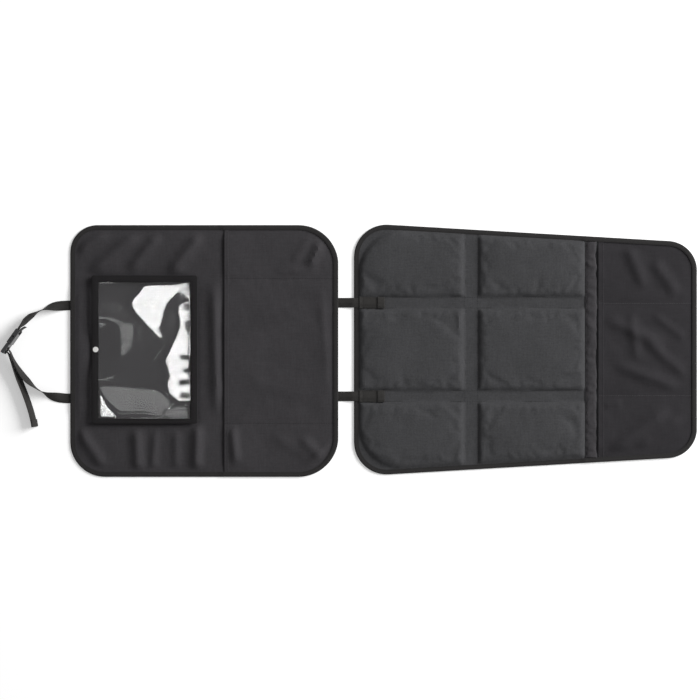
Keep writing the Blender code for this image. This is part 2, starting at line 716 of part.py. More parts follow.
def seat_grid():
    columns = SEAT.corner_columns()
    for start, end in pad_columns():
        columns += [start, start + PAD_SHOULDER, end - PAD_SHOULDER, end]
    columns += [SEAT_X + SEAT_REAR_CORNER + PAD_CORNER_EXTRA * share for share in (0.5, 1.0)]
    columns += [SEAT_X + 0.150, SEAT_X + 0.340, FRONT_MOUTH_X, FRONT_MOUTH_X + FRONT_HEM_WIDTH]
    columns += [FRONT_MOUTH_X + FRONT_HEM_WIDTH + 0.0012, FRONT_MOUTH_X + 0.045, FRONT_MOUTH_X + 0.085]
    half = PAD_ROW_CHANNEL / 2
    lines = (PAD_ROW_SPLIT - half - PAD_SHOULDER, PAD_ROW_SPLIT - half, PAD_ROW_SPLIT + half)
    lines = (0.040,) + lines + (PAD_ROW_SPLIT + half + PAD_SHOULDER,)
    foot = (PAD_EDGE_INSET - FOLD) * SEAT.lean
    edges = (0.0, foot, foot + PAD_SHOULDER * SEAT.lean, foot + 0.026)
    rows = [("low", d) for d in edges] + [("mid", -y) for y in reversed(lines)] + [("mid", 0.0)]
    rows += [("mid", y) for y in lines] + [("high", d) for d in reversed(edges)]
    return tidy_lines(columns, LINE_LEAST), rows


def make_foam_pads(finish):
    """Six foam pads with chamfered upper edges, clear of the cover's shoulders."""
    outline = seat_outline(PAD_EDGE_INSET + FOAM_CLEARANCE, FOAM_CORNER_EXTRA)
    inner = PAD_ROW_SPLIT - PAD_ROW_CHANNEL / 2 - FOAM_CLEARANCE
    outer = PAD_ROW_SPLIT + PAD_ROW_CHANNEL / 2 + FOAM_CLEARANCE
    sets = {
        "left": [("mid", outer), ("mid", outer + FOAM_CHAMFER), ("high", FOAM_CHAMFER), ("high", 0.0)],
        "middle": [("mid", -inner), ("mid", FOAM_CHAMFER - inner), ("mid", inner - FOAM_CHAMFER), ("mid", inner)],
        "right": [("low", 0.0), ("low", FOAM_CHAMFER), ("mid", -outer - FOAM_CHAMFER), ("mid", -outer)],
    }
    for place, (start, end) in zip(("rear", "front"), pad_columns()):
        high = end - FOAM_CLEARANCE
        for side, rows in sets.items():
            low = start + FOAM_CLEARANCE + (FOAM_CORNER_START if place == "rear" and side != "middle" else 0.0)
            columns = [x for x in outline.corner_columns() if low < x < high]
            columns += [low, low + FOAM_CHAMFER, high - FOAM_CHAMFER, high]

            def height(x, y, low=low, high=high, side=side):
                across = abs(y - SEAT_CENTRE_Y)
                within = inner - across if side == "middle" else min(across - outer, outline.inset_at(x, y))
                depth = min(x - low, high - x, within)
                share = min(1.0, max(0.0, depth / FOAM_CHAMFER))
                return FOAM - FOAM_CHAMFER_DROP * (1 - share)

            name = f"foam_pad_{place}_{side}"
            Sheet(outline, tidy_lines(columns, LINE_LEAST), rows).build(name, lambda x, y: COVER_BASE, height, finish)


def make_mouth_strip(finish):
    """A folded, puckered strip of cloth between the pads and the pocket, its fold towards the mouth."""
    start = SEAT_X + STRIP_START
    base = COVER_BASE + CLOTH + GAP
    low, high = SEAT.limits(start + STRIP_WIDTH)
    side = (BINDING_WIDTH - FOLD + GAP) * SEAT.lean
    low, high = low + side, high - side
    count = 2 * round((high - low) / STRIP_RIPPLE_PITCH) + 2
    sections = []
    for k in range(count + 1):
        y = low + (high - low) * k / count
        ripple = STRIP_RIPPLE * math.cos(math.pi * k)
        top = STRIP_RISE + ripple
        outer = [(0.0, 0.0), (0.94, 0.0), (1.0, 0.35 * top), (0.95, 0.85 * top), (0.70, top), (0.30, 0.74 * top)]
        outer.append((0.0, STRIP_CLOSED))
        lip = CLOTH / STRIP_WIDTH
        inner = [(0.0, STRIP_CLOSED - CLOTH), (0.30, 0.74 * top - CLOTH), (0.70, top - CLOTH)]
        inner += [(0.95 - lip, 0.85 * top - 0.7 * CLOTH), (1.0 - lip, 0.35 * top), (0.94 - lip / 2, CLOTH)]
        inner.append((0.0, CLOTH))
        sections.append([(start + a * STRIP_WIDTH, y, base + z) for a, z in outer + inner])
    bm = bmesh.new()
    skin(bm, sections, closed=False)
    add_object("mouth_strip", bm, finish, math.radians(40))


def make_seat_panel(finishes):
    columns, rows = seat_grid()
    sheet = Sheet(SEAT, columns, rows)
    sheet.build("seat_cover", cover_underside, lambda x, y: CLOTH, finishes["seat"])
    plain_rows = [("low", 0.0), ("low", 0.060), ("mid", 0.0), ("high", 0.060), ("high", 0.0)]
    plain = [x for x in columns if x < SEAT_X + SEAT_REAR_CORNER or x > SEAT_END - SEAT_FRONT_CORNER]
    plain += [PADS_END_X, SEAT_X + PAD_COLUMN_SPLIT]
    backing = Sheet(SEAT, tidy_lines(plain, LINE_LEAST), plain_rows)
    backing.build("seat_backing", lambda x, y: FOLD, lambda x, y: CLOTH, finishes["backing"])
    pocket = Sheet(SEAT, [x for x in columns if x > FRONT_MOUTH_X - 0.0001], rows)
    pocket.build("front_pocket", front_pocket_underside, front_pocket_thickness, finishes["pocket"])
    binding("seat_binding", sheet.rim(), lambda x, y: 0.0, seat_leg, finishes["tape"])
    make_foam_pads(finishes["foam"])
    make_mouth_strip(finishes["seat"])


def flat_path(points, y):
    """A strap's centre line over (x, z) points at one y, with its width along Y."""
    return [(Vector((x, y, z)), Vector((0, 1, 0)), None) for x, z in points]


def fold_back(path, side, length):
    """Turns the last run of a path back on itself, on the given side of its face."""
    centre, across, _ = path[-1]
    along = (centre - path[-2][0]).normalized()
    face = along.cross(across).normalized() * side
    radius = WEBBING / 2 + GAP
    middle = centre + face * radius
    for k in range(5):
        angle = math.pi * k / 4
        point = middle + along * radius * math.sin(angle) - face * radius * math.cos(angle)
        heading = along * math.cos(angle) + face * math.sin(angle)
        if k == 0:
            path.pop()
        path.append((point, across, heading))
    path.append((path[-1][0] - along * length, across, None))


def make_link_straps(finishes):
    """Two straps sewn under the back panel that lie in the seat panel's channels, under tabs."""
    under = FOLD + WEBBING / 2
    over = seat_leg(SEAT_X, 0.0) + TAPE + GAP + WEBBING / 2
    channel = COVER_BASE + CLOTH + GAP + WEBBING / 2
    drop_end = SEAT_X + BINDING_WIDTH + 0.0070
    for name, side in (("left", 1), ("right", -1)):
        y = SEAT_CENTRE_Y + side * PAD_ROW_SPLIT
        points = [(BACK_END - LINK_ROOT, under), (BACK_END - BINDING_WIDTH - 0.0070, under)]
        points += [(BACK_END - BINDING_WIDTH - 0.0005, WEBBING / 2), (BACK_END + 0.0030, WEBBING / 2)]
        points += [(BACK_END + PANEL_GAP / 2, WEBBING / 2 + 0.35 * (over - WEBBING / 2))]
        points += [(SEAT_X - 0.0020, over), (SEAT_X + BINDING_WIDTH, over)]
        points += [(drop_end, channel), (SEAT_X + LINK_TAB_START + LINK_END_LAP, channel)]
        ribbon_solid(f"link_strap_{name}", flat_path(points, y), finishes["webbing"])
        step = WEBBING + GAP
        tab_end = SEAT_X + LINK_TAB_START + LINK_TAB_LENGTH - step
        tab = [(SEAT_X + LINK_TAB_START, over + step), (drop_end, channel + WEBBING + 2 * GAP)]
        tab += [(tab_end, channel + WEBBING + 2 * GAP)]
        path = flat_path(tab, y)
        fold_back(path, 1, LINK_TAB_FOLD - step)
        ribbon_solid(f"link_tab_{name}", path, finishes["webbing"], width=PAD_ROW_CHANNEL - 2 * GAP)


# The head loop and its buckle, which stands on its edge: local X runs from the
# socket's end to the plug's end, local Y through its thickness and local Z across it
BUCKLE_WIDTH = STRAP_WIDTH + 2 * SLOT_SIDE + 2 * BUCKLE_WALL
BUCKLE_LENGTH = SOCKET_LENGTH + PLUG_SHOWN
UP = Vector((0, 0, 1))
BUCKLE_ALONG = Vector((-math.cos(BUCKLE_ANGLE), -math.sin(BUCKLE_ANGLE), 0))
BUCKLE_SIDE = UP.cross(BUCKLE_ALONG)
BUCKLE_ACROSS = UP * math.cos(BUCKLE_LEAN) - BUCKLE_SIDE * math.sin(BUCKLE_LEAN)
BUCKLE_FACE = BUCKLE_ACROSS.cross(BUCKLE_ALONG)
BUCKLE_START = Vector(
    (
        BACK_X - LOOP_REACH + BUCKLE_LENGTH * math.cos(BUCKLE_ANGLE) + PLUG_THICK / 2 * math.sin(BUCKLE_ANGLE),
        BUCKLE_END_Y,
        BUCKLE_WIDTH / 2 * math.cos(BUCKLE_LEAN) + BUCKLE_THICK / 2 * math.sin(BUCKLE_LEAN),
    )
)
WRAP = BAR_THICK / 2 + GAP + WEBBING / 2
MIDDLE_BAR = BUCKLE_LENGTH - 2 * BAR_LENGTH - SLOT_LENGTH


def buckle_matrix():
    turn = Matrix((BUCKLE_ALONG, BUCKLE_FACE, BUCKLE_ACROSS)).transposed()
    return Matrix.Translation(BUCKLE_START) @ turn.to_4x4()


def in_buckle(x, y):
    """The world point at a place in the buckle's middle plane."""
    return BUCKLE_START + BUCKLE_ALONG * x + BUCKLE_FACE * y


def rolled(along, roll):
    """A strap's width direction: level at a roll of 0 and upright at 90 degrees."""
    level = UP.cross(along).normalized()
    return level * math.cos(roll) + UP * math.sin(roll)


def resting_height(across):
    """The height of a strap's centre when its lower edge lies on the ground."""
    upright = abs(across.z)
    return STRAP_WIDTH / 2 * upright + WEBBING / 2 * math.sqrt(max(0.0, 1 - upright**2))


def between(value, stops):
    """A value read from (place, amount) stops with smooth steps between them."""
    for (here, low), (there, high) in zip(stops, stops[1:]):
        if value <= there:
            return low + (high - low) * ramp(value, here, there)
    return stops[-1][1]


def strap_run(points, rolls, end_across, end_height, steps):
    """A strap's free run on a cubic curve in plan, rolled as it goes and ending at a buckle bar."""
    path = []
    for k in range(steps):
        t = k / steps
        centre = bezier(*points, t)
        ahead = bezier(*points, t + 0.001)
        along = (ahead - centre).normalized()
        across = rolled(along, between(t, rolls))
        join = ramp(t, 0.62, 1.0)
        across = across.lerp(end_across, join).normalized()
        centre.z = resting_height(across) * (1 - join) + end_height * join
        path.append((centre, across, None))
    return path


def head_root(y):
    """The strap's end under the back panel, from its sewn end out past the binding."""
    under = FOLD + WEBBING / 2
    ends = (HEAD_ROOT, BINDING_WIDTH + 0.0070, BINDING_WIDTH + 0.0005, -0.0020)
    heights = (under, under, WEBBING / 2, WEBBING / 2)
    return [(Vector((BACK_X + x, y, z)), Vector((0, -1, 0)), None) for x, z in zip(ends, heights)]


def turn_round(x, y, radius, start, across, steps=6):
    """Half a turn round a buckle bar at (x, y) in the buckle, starting at an angle."""
    found = []
    for k in range(steps + 1):
        angle = start + math.pi * k / steps
        along = BUCKLE_FACE * math.cos(angle) - BUCKLE_ALONG * math.sin(angle)
        point = in_buckle(x + radius * math.cos(angle), y + radius * math.sin(angle))
        found.append((point, across, along))
    return found


def make_head_strap_upper(finish):
    """Sewn under the panel, round the socket's bar, and stitched back on itself."""
    y = HEAD_CENTRE_Y + HEAD_PITCH / 2
    path = head_root(y)
    first = path[-1][0]
    last = in_buckle(-SOCKET_LEAD, -WRAP)
    points = [first, first - Vector((UPPER_LEAVE, 0, 0)), last - BUCKLE_ALONG * UPPER_ARRIVE, last]
    flat = [Vector((p.x, p.y, 0)) for p in points]
    edge = math.pi / 2
    rolls = ((0.0, 0.0), (0.05, 0.0), (0.47, edge), (0.70, edge + STRAP_LEAN), (1.0, edge + STRAP_LEAN))
    path += strap_run(flat, rolls, BUCKLE_ACROSS, last.z, UPPER_STRAP_STEPS)[1:]
    path.append((last, BUCKLE_ACROSS, BUCKLE_ALONG))
    path += turn_round(BAR_LENGTH - GAP, 0.0, WRAP, -math.pi / 2, BUCKLE_ACROSS)
    for share in (0.25, 0.6, 1.0):
        path.append((in_buckle(-RETURN_LAP * share, WRAP + RETURN_FLARE * share**2), BUCKLE_ACROSS, None))
    ribbon_solid("head_strap_upper", path, finish)


def make_head_strap_lower(finish):
    """Sewn under the panel, threaded round the plug's middle bar, and left as a free tail."""
    y = HEAD_CENTRE_Y - HEAD_PITCH / 2
    path = head_root(y)
    first = path[-1][0]
    away = Vector((*LEG_WAY, 0)).normalized()
    radius = BAR_LENGTH / 2 + GAP + WEBBING / 2
    middle = MIDDLE_BAR + BAR_LENGTH / 2
    bend = PLUG_LEAD
    entry = in_buckle(middle - radius, BAR_THICK / 2 + GAP)
    last = entry + BUCKLE_SIDE * bend + away * bend
    points = [first, first - Vector((LOWER_LEAVE, 0, 0)), last + away * LOWER_ARRIVE, last]
    flat = [Vector((p.x, p.y, 0)) for p in points]
    edge = -math.pi / 2
    rolls = ((0.0, 0.0), (0.05, 0.0), (0.40, edge), (0.62, edge - STRAP_LEAN), (1.0, edge - STRAP_LEAN))
    path += strap_run(flat, rolls, -BUCKLE_ACROSS, last.z, LOWER_STRAP_STEPS)[1:]
    for t in (0.0, 0.35, 0.7, 1.0):
        point = bezier(last, last - away * bend * 0.6, entry + BUCKLE_FACE * bend * 0.6, entry, t)
        path.append((point, -BUCKLE_ACROSS, None))
    path += turn_round(middle, -BAR_THICK * 0.25, radius, math.pi, -BUCKLE_ACROSS)
    leave = in_buckle(middle + radius, BAR_THICK / 2 + GAP)
    start = leave + BUCKLE_SIDE * bend + away * bend
    for t in (0.0, 0.35, 0.7):
        point = bezier(leave, leave + BUCKLE_FACE * bend * 0.6, start - away * bend * 0.6, start, t)
        path.append((point, -BUCKLE_ACROSS, None))
    end = Vector((BACK_X - TAIL_END_REACH, TAIL_END_Y, 0))
    out = Vector((*TAIL_WAY, 0)).normalized()
    ground = Vector((start.x, start.y, 0))
    curve = (ground, ground + away * TAIL_LEAVE, end - out * TAIL_LEAVE, end)
    for k in range(TAIL_STEPS):
        t = k / (TAIL_STEPS - 1)
        centre = bezier(*curve, t)
        along = (bezier(*curve, t + 0.001) - centre).normalized()
        lean = -rolled(along, math.pi / 2 + STRAP_LEAN)
        join = ramp(t, 0.0, 0.40)
        across = (-BUCKLE_ACROSS).lerp(lean, join).normalized()
        centre.z = start.z * (1 - join) + resting_height(across) * join
        path.append((centre, across, None))
    fold_back(path, 1, TAIL_END_HEM)
    ribbon_solid("head_strap_lower", path, finish)


def buckle_cutter(name, low, high, finish):
    bm = bmesh.new()
    box(bm, low, high)
    return add_object(name, bm, finish, None, buckle_matrix())


def rounded_block(name, low, high, radius, finish):
    bm = bmesh.new()
    box(bm, low, high)
    bmesh.ops.bevel(
        bm,
        geom=bm.edges[:],
        offset=radius,
        segments=2,
        affect="EDGES",
        profile=0.5,
        clamp_overlap=True,
        material=-1,
    )
    return add_object(name, bm, finish, math.radians(35), buckle_matrix())


def make_buckle_socket(finish):
    """The hollow half: a bar for the fixed strap, and a mouth and side windows for the arms."""
    half, thick = BUCKLE_WIDTH / 2, BUCKLE_THICK / 2
    slot = STRAP_WIDTH / 2 + SLOT_SIDE
    body = BAR_LENGTH + SLOT_LENGTH
    socket = rounded_block("buckle_socket", (0, -thick, -half), (SOCKET_LENGTH, thick, half), SOCKET_ROUND, finish)
    far = BUCKLE_WIDTH
    for name, side in (("upper", 1), ("lower", -1)):
        faces = sorted((side * BAR_THICK / 2, side * far))
        cut(socket, buckle_cutter(f"socket_recess_{name}", (-far, faces[0], -slot), (body, faces[1], slot), finish))
    cut(socket, buckle_cutter("socket_slot", (BAR_LENGTH, -far, -slot), (body, far, slot), finish))
    inner, wide = thick - SHELL, half - SHELL
    start = body + SHELL
    cut(socket, buckle_cutter("socket_cavity", (start, -inner, -wide), (SOCKET_LENGTH + far, inner, wide), finish))
    low = body + WINDOW_START
    high = low + WINDOW_LENGTH
    window = thick - 2 * SHELL
    cut(socket, buckle_cutter("socket_windows", (low, -window, -far), (high, window, far), finish))


def make_buckle_plug(finish):
    """The plug: a plate with two slots for the strap, two sprung arms and a guide prong."""
    half, thick = BUCKLE_WIDTH / 2 - GAP, PLUG_THICK / 2
    slot = STRAP_WIDTH / 2 + SLOT_SIDE
    start = SOCKET_LENGTH + GAP
    plug = rounded_block("buckle_plug", (start, -thick, -half), (BUCKLE_LENGTH, thick, half), PLUG_ROUND, finish)
    far = BUCKLE_WIDTH
    first = MIDDLE_BAR - SLOT_LENGTH
    second = MIDDLE_BAR + BAR_LENGTH
    for name, x in (("inner", first), ("outer", second)):
        cut(plug, buckle_cutter(f"plug_slot_{name}", (x, -far, -slot), (x + SLOT_LENGTH, far, slot), finish))
    for name, side in (("upper", 1), ("lower", -1)):
        faces = sorted((side * BAR_THICK / 2, side * far))
        low, high = (first, faces[0], -slot), (BUCKLE_LENGTH + far, faces[1], slot)
        cut(plug, buckle_cutter(f"plug_recess_{name}", low, high, finish))
    bm = bmesh.new()
    deep = BUCKLE_THICK / 2 - 2 * SHELL - GAP
    outside = BUCKLE_WIDTH / 2 - SHELL - GAP
    root = start + 0.0010
    tip = root - ARM_LENGTH
    outline = [(root, -outside + 0.0016), (root, outside - 0.0016)]
    arm = [(root - 0.0070, outside - 0.0016), (root - 0.0085, outside + 0.0012), (tip + 0.0030, outside + 0.0006)]
    arm += [(tip, outside - 0.0016), (tip + 0.0010, outside - ARM_WIDTH), (root - 0.0040, outside - ARM_WIDTH - 0.0010)]
    prong = [(root - 0.0040, PRONG_WIDTH / 2), (root - PRONG_LENGTH, PRONG_WIDTH / 2)]
    outline += arm + prong
    outline += [(x, -z) for x, z in reversed(arm + prong)]
    corners = [bm.verts.new((x, -deep, z)) for x, z in outline]
    face = bm.faces.new(corners)
    grown = bmesh.ops.extrude_face_region(bm, geom=[face], use_keep_orig=True)
    raised = [item for item in grown["geom"] if isinstance(item, bmesh.types.BMVert)]
    bmesh.ops.translate(bm, verts=raised, vec=(0, 2 * deep, 0))
    arms = add_object("plug_arms", bm, finish, None, buckle_matrix())
    arms.hide_render = True
    arms.display_type = "WIRE"
    join = plug.modifiers.new("join_arms", "BOOLEAN")
    join.operation = "UNION"
    join.solver = "EXACT"
    join.object = arms


def main():
    clear_scene()
    finishes = {
        "cloth": material("black_coated_cloth", BLACK_CLOTH, 0.72),
        "trim": material("black_frame_cloth", TAPE_BLACK, 0.70),
        "film": material("clear_film", FILM_CLEAR, 0.06, alpha=0.2),
        "metal": material("bright_metal", METAL, 0.22, metallic=1.0),
        "seat": material("seat_cloth", SEAT_CLOTH, 0.85),
        "backing": material("backing_cloth", BACKING_GREY, 0.90),
        "pocket": material("pocket_cloth", POCKET_CLOTH, 0.80),
        "tape": material("binding_tape", TAPE_BLACK, 0.80),
        "foam": material("grey_foam", FOAM_GREY, 0.95),
        "webbing": material("black_webbing", WEBBING_BLACK, 0.82),
        "plastic": material("black_plastic", PLASTIC_BLACK, 0.38),
    }
    make_back_panel(finishes)
    make_tablet_pocket(finishes)
    make_seat_panel(finishes)
    make_link_straps(finishes)
    make_head_strap_upper(finishes["webbing"])
    make_head_strap_lower(finishes["webbing"])
    make_buckle_socket(finishes["plastic"])
    make_buckle_plug(finishes["plastic"])


main()
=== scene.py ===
"""Car seat protector: cloth, padding, webbing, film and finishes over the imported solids."""

import bisect
import math

import bmesh
import bpy
from bpy.props import FloatProperty, FloatVectorProperty, PointerProperty
from mathutils import Matrix, Vector, noise


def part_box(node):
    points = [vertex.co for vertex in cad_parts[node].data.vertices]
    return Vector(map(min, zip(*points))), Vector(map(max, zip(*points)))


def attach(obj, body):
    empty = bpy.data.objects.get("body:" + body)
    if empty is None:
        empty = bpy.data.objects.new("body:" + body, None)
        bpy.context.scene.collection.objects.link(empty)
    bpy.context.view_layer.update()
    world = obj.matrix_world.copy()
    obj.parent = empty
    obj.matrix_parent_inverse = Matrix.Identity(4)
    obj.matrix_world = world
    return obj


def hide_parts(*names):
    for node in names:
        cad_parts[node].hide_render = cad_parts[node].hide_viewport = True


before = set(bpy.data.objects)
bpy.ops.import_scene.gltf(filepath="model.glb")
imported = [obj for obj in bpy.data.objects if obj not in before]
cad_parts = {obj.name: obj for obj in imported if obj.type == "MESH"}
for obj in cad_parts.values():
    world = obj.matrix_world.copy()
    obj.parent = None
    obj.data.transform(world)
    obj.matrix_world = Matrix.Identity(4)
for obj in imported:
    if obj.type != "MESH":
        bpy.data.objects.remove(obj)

bl_info = {
    "name": "Car seat protector",
    "version": (1, 0, 0),
    "blender": (4, 5, 0),
    "location": "View3D > Sidebar > Protector",
    "description": "Cloth panels, pockets, webbing and buckle of a car seat protector laid flat",
    "category": "Object",
}

# Sizes that the cloth shares with the solids
CLOTH = 0.0006
HEM = 0.0012
TAPE = 0.0008
WEBBING = 0.0012
STRAP_WIDTH = 0.019
GAP = 0.0003
FOLD = TAPE + GAP
STRAP_LIFT = WEBBING + GAP
BINDING_WIDTH = 0.0095
FOAM = 0.0050
FILM = 0.0003
# How far inside a bound edge its seam lies, and how high threads lie over cloth and over tape
TAPE_SEAM = BINDING_WIDTH - FOLD - 0.0016
THREAD_LIFT = 0.00008
TAPE_THREAD_LIFT = 0.00012
# Where a pocket's seams start behind its mouth, and the step at the end of its hem
SEAM_START = 0.0020
HEM_STEP = 0.0006

BACK_LOW, BACK_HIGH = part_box("back_binding")
SEAT_LOW, SEAT_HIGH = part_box("seat_binding")
BACK_X, BACK_END = BACK_LOW[0], BACK_HIGH[0]
SEAT_X, SEAT_END = SEAT_LOW[0], SEAT_HIGH[0]
BACK_CENTRE_Y = -0.0023
BACK_HALF = 0.2455
SEAT_CENTRE_Y = 0.0005
SEAT_HALF = 0.2475
FRONT_WIDTH = 0.417
LOW_MOUTH_X = BACK_X + 0.301
LOW_HEM = 0.0064
LOW_SEAM_Y = 0.141
LOW_SEAM_LENGTH = 0.208
LOW_HEM_REACH = 0.234
HEAD_ROOT = 0.0280
LINK_ROOT = 0.0300
# How a strap steps down beside a binding, and how the tabs lie over the link straps' ends
STEP_RUN = 0.0070
EDGE_ROOM = 0.0005
TAB_START_X = SEAT_X + 0.0110
LINK_LAP = 0.0290
TAB_LENGTH = 0.0490
TAB_FOLD = 0.0135
HEAD_PITCH = 0.1812
LIFT_HALF = HEAD_PITCH / 2 + STRAP_WIDTH / 2 + 0.0050

TABLET_LOW, TABLET_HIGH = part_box("tablet_frame")
TABLET_X, TABLET_END = TABLET_LOW[0], TABLET_HIGH[0]
TABLET_Y = 0.0006
TABLET_HALF = (TABLET_HIGH[1] - TABLET_LOW[1]) / 2
FRAME_THICK = 0.0016
FRAME_UNDER = FOLD + CLOTH + 0.0100 - FRAME_THICK
BARS = {"mouth": 0.0133, "far": 0.0146, "high": 0.0135, "low": 0.0101}
WINDOW_X, WINDOW_END = TABLET_X + BARS["mouth"], TABLET_END - BARS["far"]
WINDOW_LOW = TABLET_Y - TABLET_HALF + BARS["low"]
WINDOW_HIGH = TABLET_Y + TABLET_HALF - BARS["high"]
DIPPED_UNDER = 0.0055
DIP_LENGTH = 0.058
DIP_WIDTH = 0.062
STUD_FLAT = 0.0070

PAD_INSET = 0.0110
PAD_SPLIT_X = SEAT_X + 0.2285
PAD_CHANNEL_X = 0.0290
PAD_SPLIT_Y = 0.0912
PAD_CHANNEL_Y = 0.0236
PADS_END = SEAT_X + 0.4500
STRIP_START = SEAT_X + 0.4515
STRIP_WIDTH = 0.0225
STRIP_RISE = 0.0034
FRONT_MOUTH_X = SEAT_X + 0.4765
FRONT_HEM = 0.0098
FRONT_SEAM_Y = 0.0900
FRONT_SEAM_LENGTH = 0.178
CHANNEL_SEAM = 0.0015
CHANNEL_REACH = 0.226
COVER_BASE = FOLD + CLOTH + GAP
COVER_TOP = COVER_BASE + CLOTH
STRIP_CLOSED = 2 * CLOTH + GAP
UP = Vector((0, 0, 1))


class ClothSettings(bpy.types.PropertyGroup):
    """Colours and weave of the cloth, tape and webbing."""

    back_colour: FloatVectorProperty(
        name="Back cloth", description="Cloth of the back panel and its pocket",
        subtype="COLOR", default=(0.0345, 0.0325, 0.0352),
    )
    pad_colour: FloatVectorProperty(
        name="Pad cloth", description="Cloth over the foam pads",
        subtype="COLOR", default=(0.0440, 0.0440, 0.0462),
    )
    pocket_colour: FloatVectorProperty(
        name="Front pocket cloth", description="Cloth of the front pocket",
        subtype="COLOR", default=(0.0218, 0.0204, 0.0226),
    )
    tape_colour: FloatVectorProperty(
        name="Binding tape", description="Folded tape round both panels",
        subtype="COLOR", default=(0.022, 0.021, 0.021),
    )
    webbing_colour: FloatVectorProperty(
        name="Webbing", description="Flat straps and tabs",
        subtype="COLOR", default=(0.0222, 0.0210, 0.0200),
    )
    weave_pitch: FloatProperty(
        name="Weave pitch", description="Distance between threads of the cloth",
        unit="LENGTH", default=0.00085,
    )
    crumple: FloatProperty(
        name="Crumple", description="How much the cloth ripples, 1 as laid out from its pack",
        default=1.0, min=0.0, max=2.0,
    )


class TabletSettings(bpy.types.PropertyGroup):
    """The tablet pocket's clear film and its dark frame."""

    film_tilt: FloatProperty(
        name="Film tilt", description="Slope of the film's creases",
        subtype="ANGLE", default=math.radians(2.6),
    )
    film_haze: FloatProperty(
        name="Film haze", description="How much of the film's own surface shows",
        default=0.15, min=0.0, max=1.0,
    )
    frame_colour: FloatVectorProperty(
        name="Frame cloth", description="Stiffened cloth round the film",
        subtype="COLOR", default=(0.0100, 0.0093, 0.0100),
    )


class BuckleSettings(bpy.types.PropertyGroup):
    """Moulded buckle and metal press stud."""

    plastic_colour: FloatVectorProperty(
        name="Plastic", description="Moulded plastic of the buckle",
        subtype="COLOR", default=(0.018, 0.018, 0.020),
    )
    plastic_roughness: FloatProperty(
        name="Plastic roughness", description="Satin finish of the plastic",
        default=0.30, min=0.0, max=1.0,
    )
    metal_colour: FloatVectorProperty(
        name="Metal", description="Plated press stud",
        subtype="COLOR", default=(0.60, 0.59, 0.575),
    )


class StageSettings(bpy.types.PropertyGroup):
    """Floor, lamps and camera."""

    key_power: FloatProperty(
        name="Key lamp", description="Lamp over the film",
        unit="POWER", default=15.2,
    )
    side_power: FloatProperty(
        name="Side lamp", description="Large soft lamp at one side",
        unit="POWER", default=525.0,
    )
    ambient: FloatProperty(
        name="Ambient", description="Even light from all round",
        default=0.305, min=0.0, max=2.0,
    )
    camera_height: FloatProperty(
        name="Camera height", description="Height over the floor",
        unit="LENGTH", default=6.0,
    )
    view_width: FloatProperty(
        name="View width", description="Floor width in view",
        unit="LENGTH", default=1.365,
    )


def ramp(value, start, end):
    """0 before start, 1 after end, and smooth between them."""
    t = min(1.0, max(0.0, (value - start) / (end - start)))
    return t * t * (3 - 2 * t)


def bump(distance, reach):
    """1 at a distance of 0, falling smoothly to 0 at reach."""
    return 1 - ramp(abs(distance), 0.0, reach)


def grain(x, y, scale_x, scale_y=None, seed=0.0):
    """Smooth noise about 0 whose bumps are about scale wide."""
    return noise.noise(Vector((x / scale_x, y / (scale_y or scale_x), seed)))


def spaced(start, end, count):
    """Evenly spaced values from start to end, with count steps between them."""
    return [start + (end - start) * k / count for k in range(count + 1)]


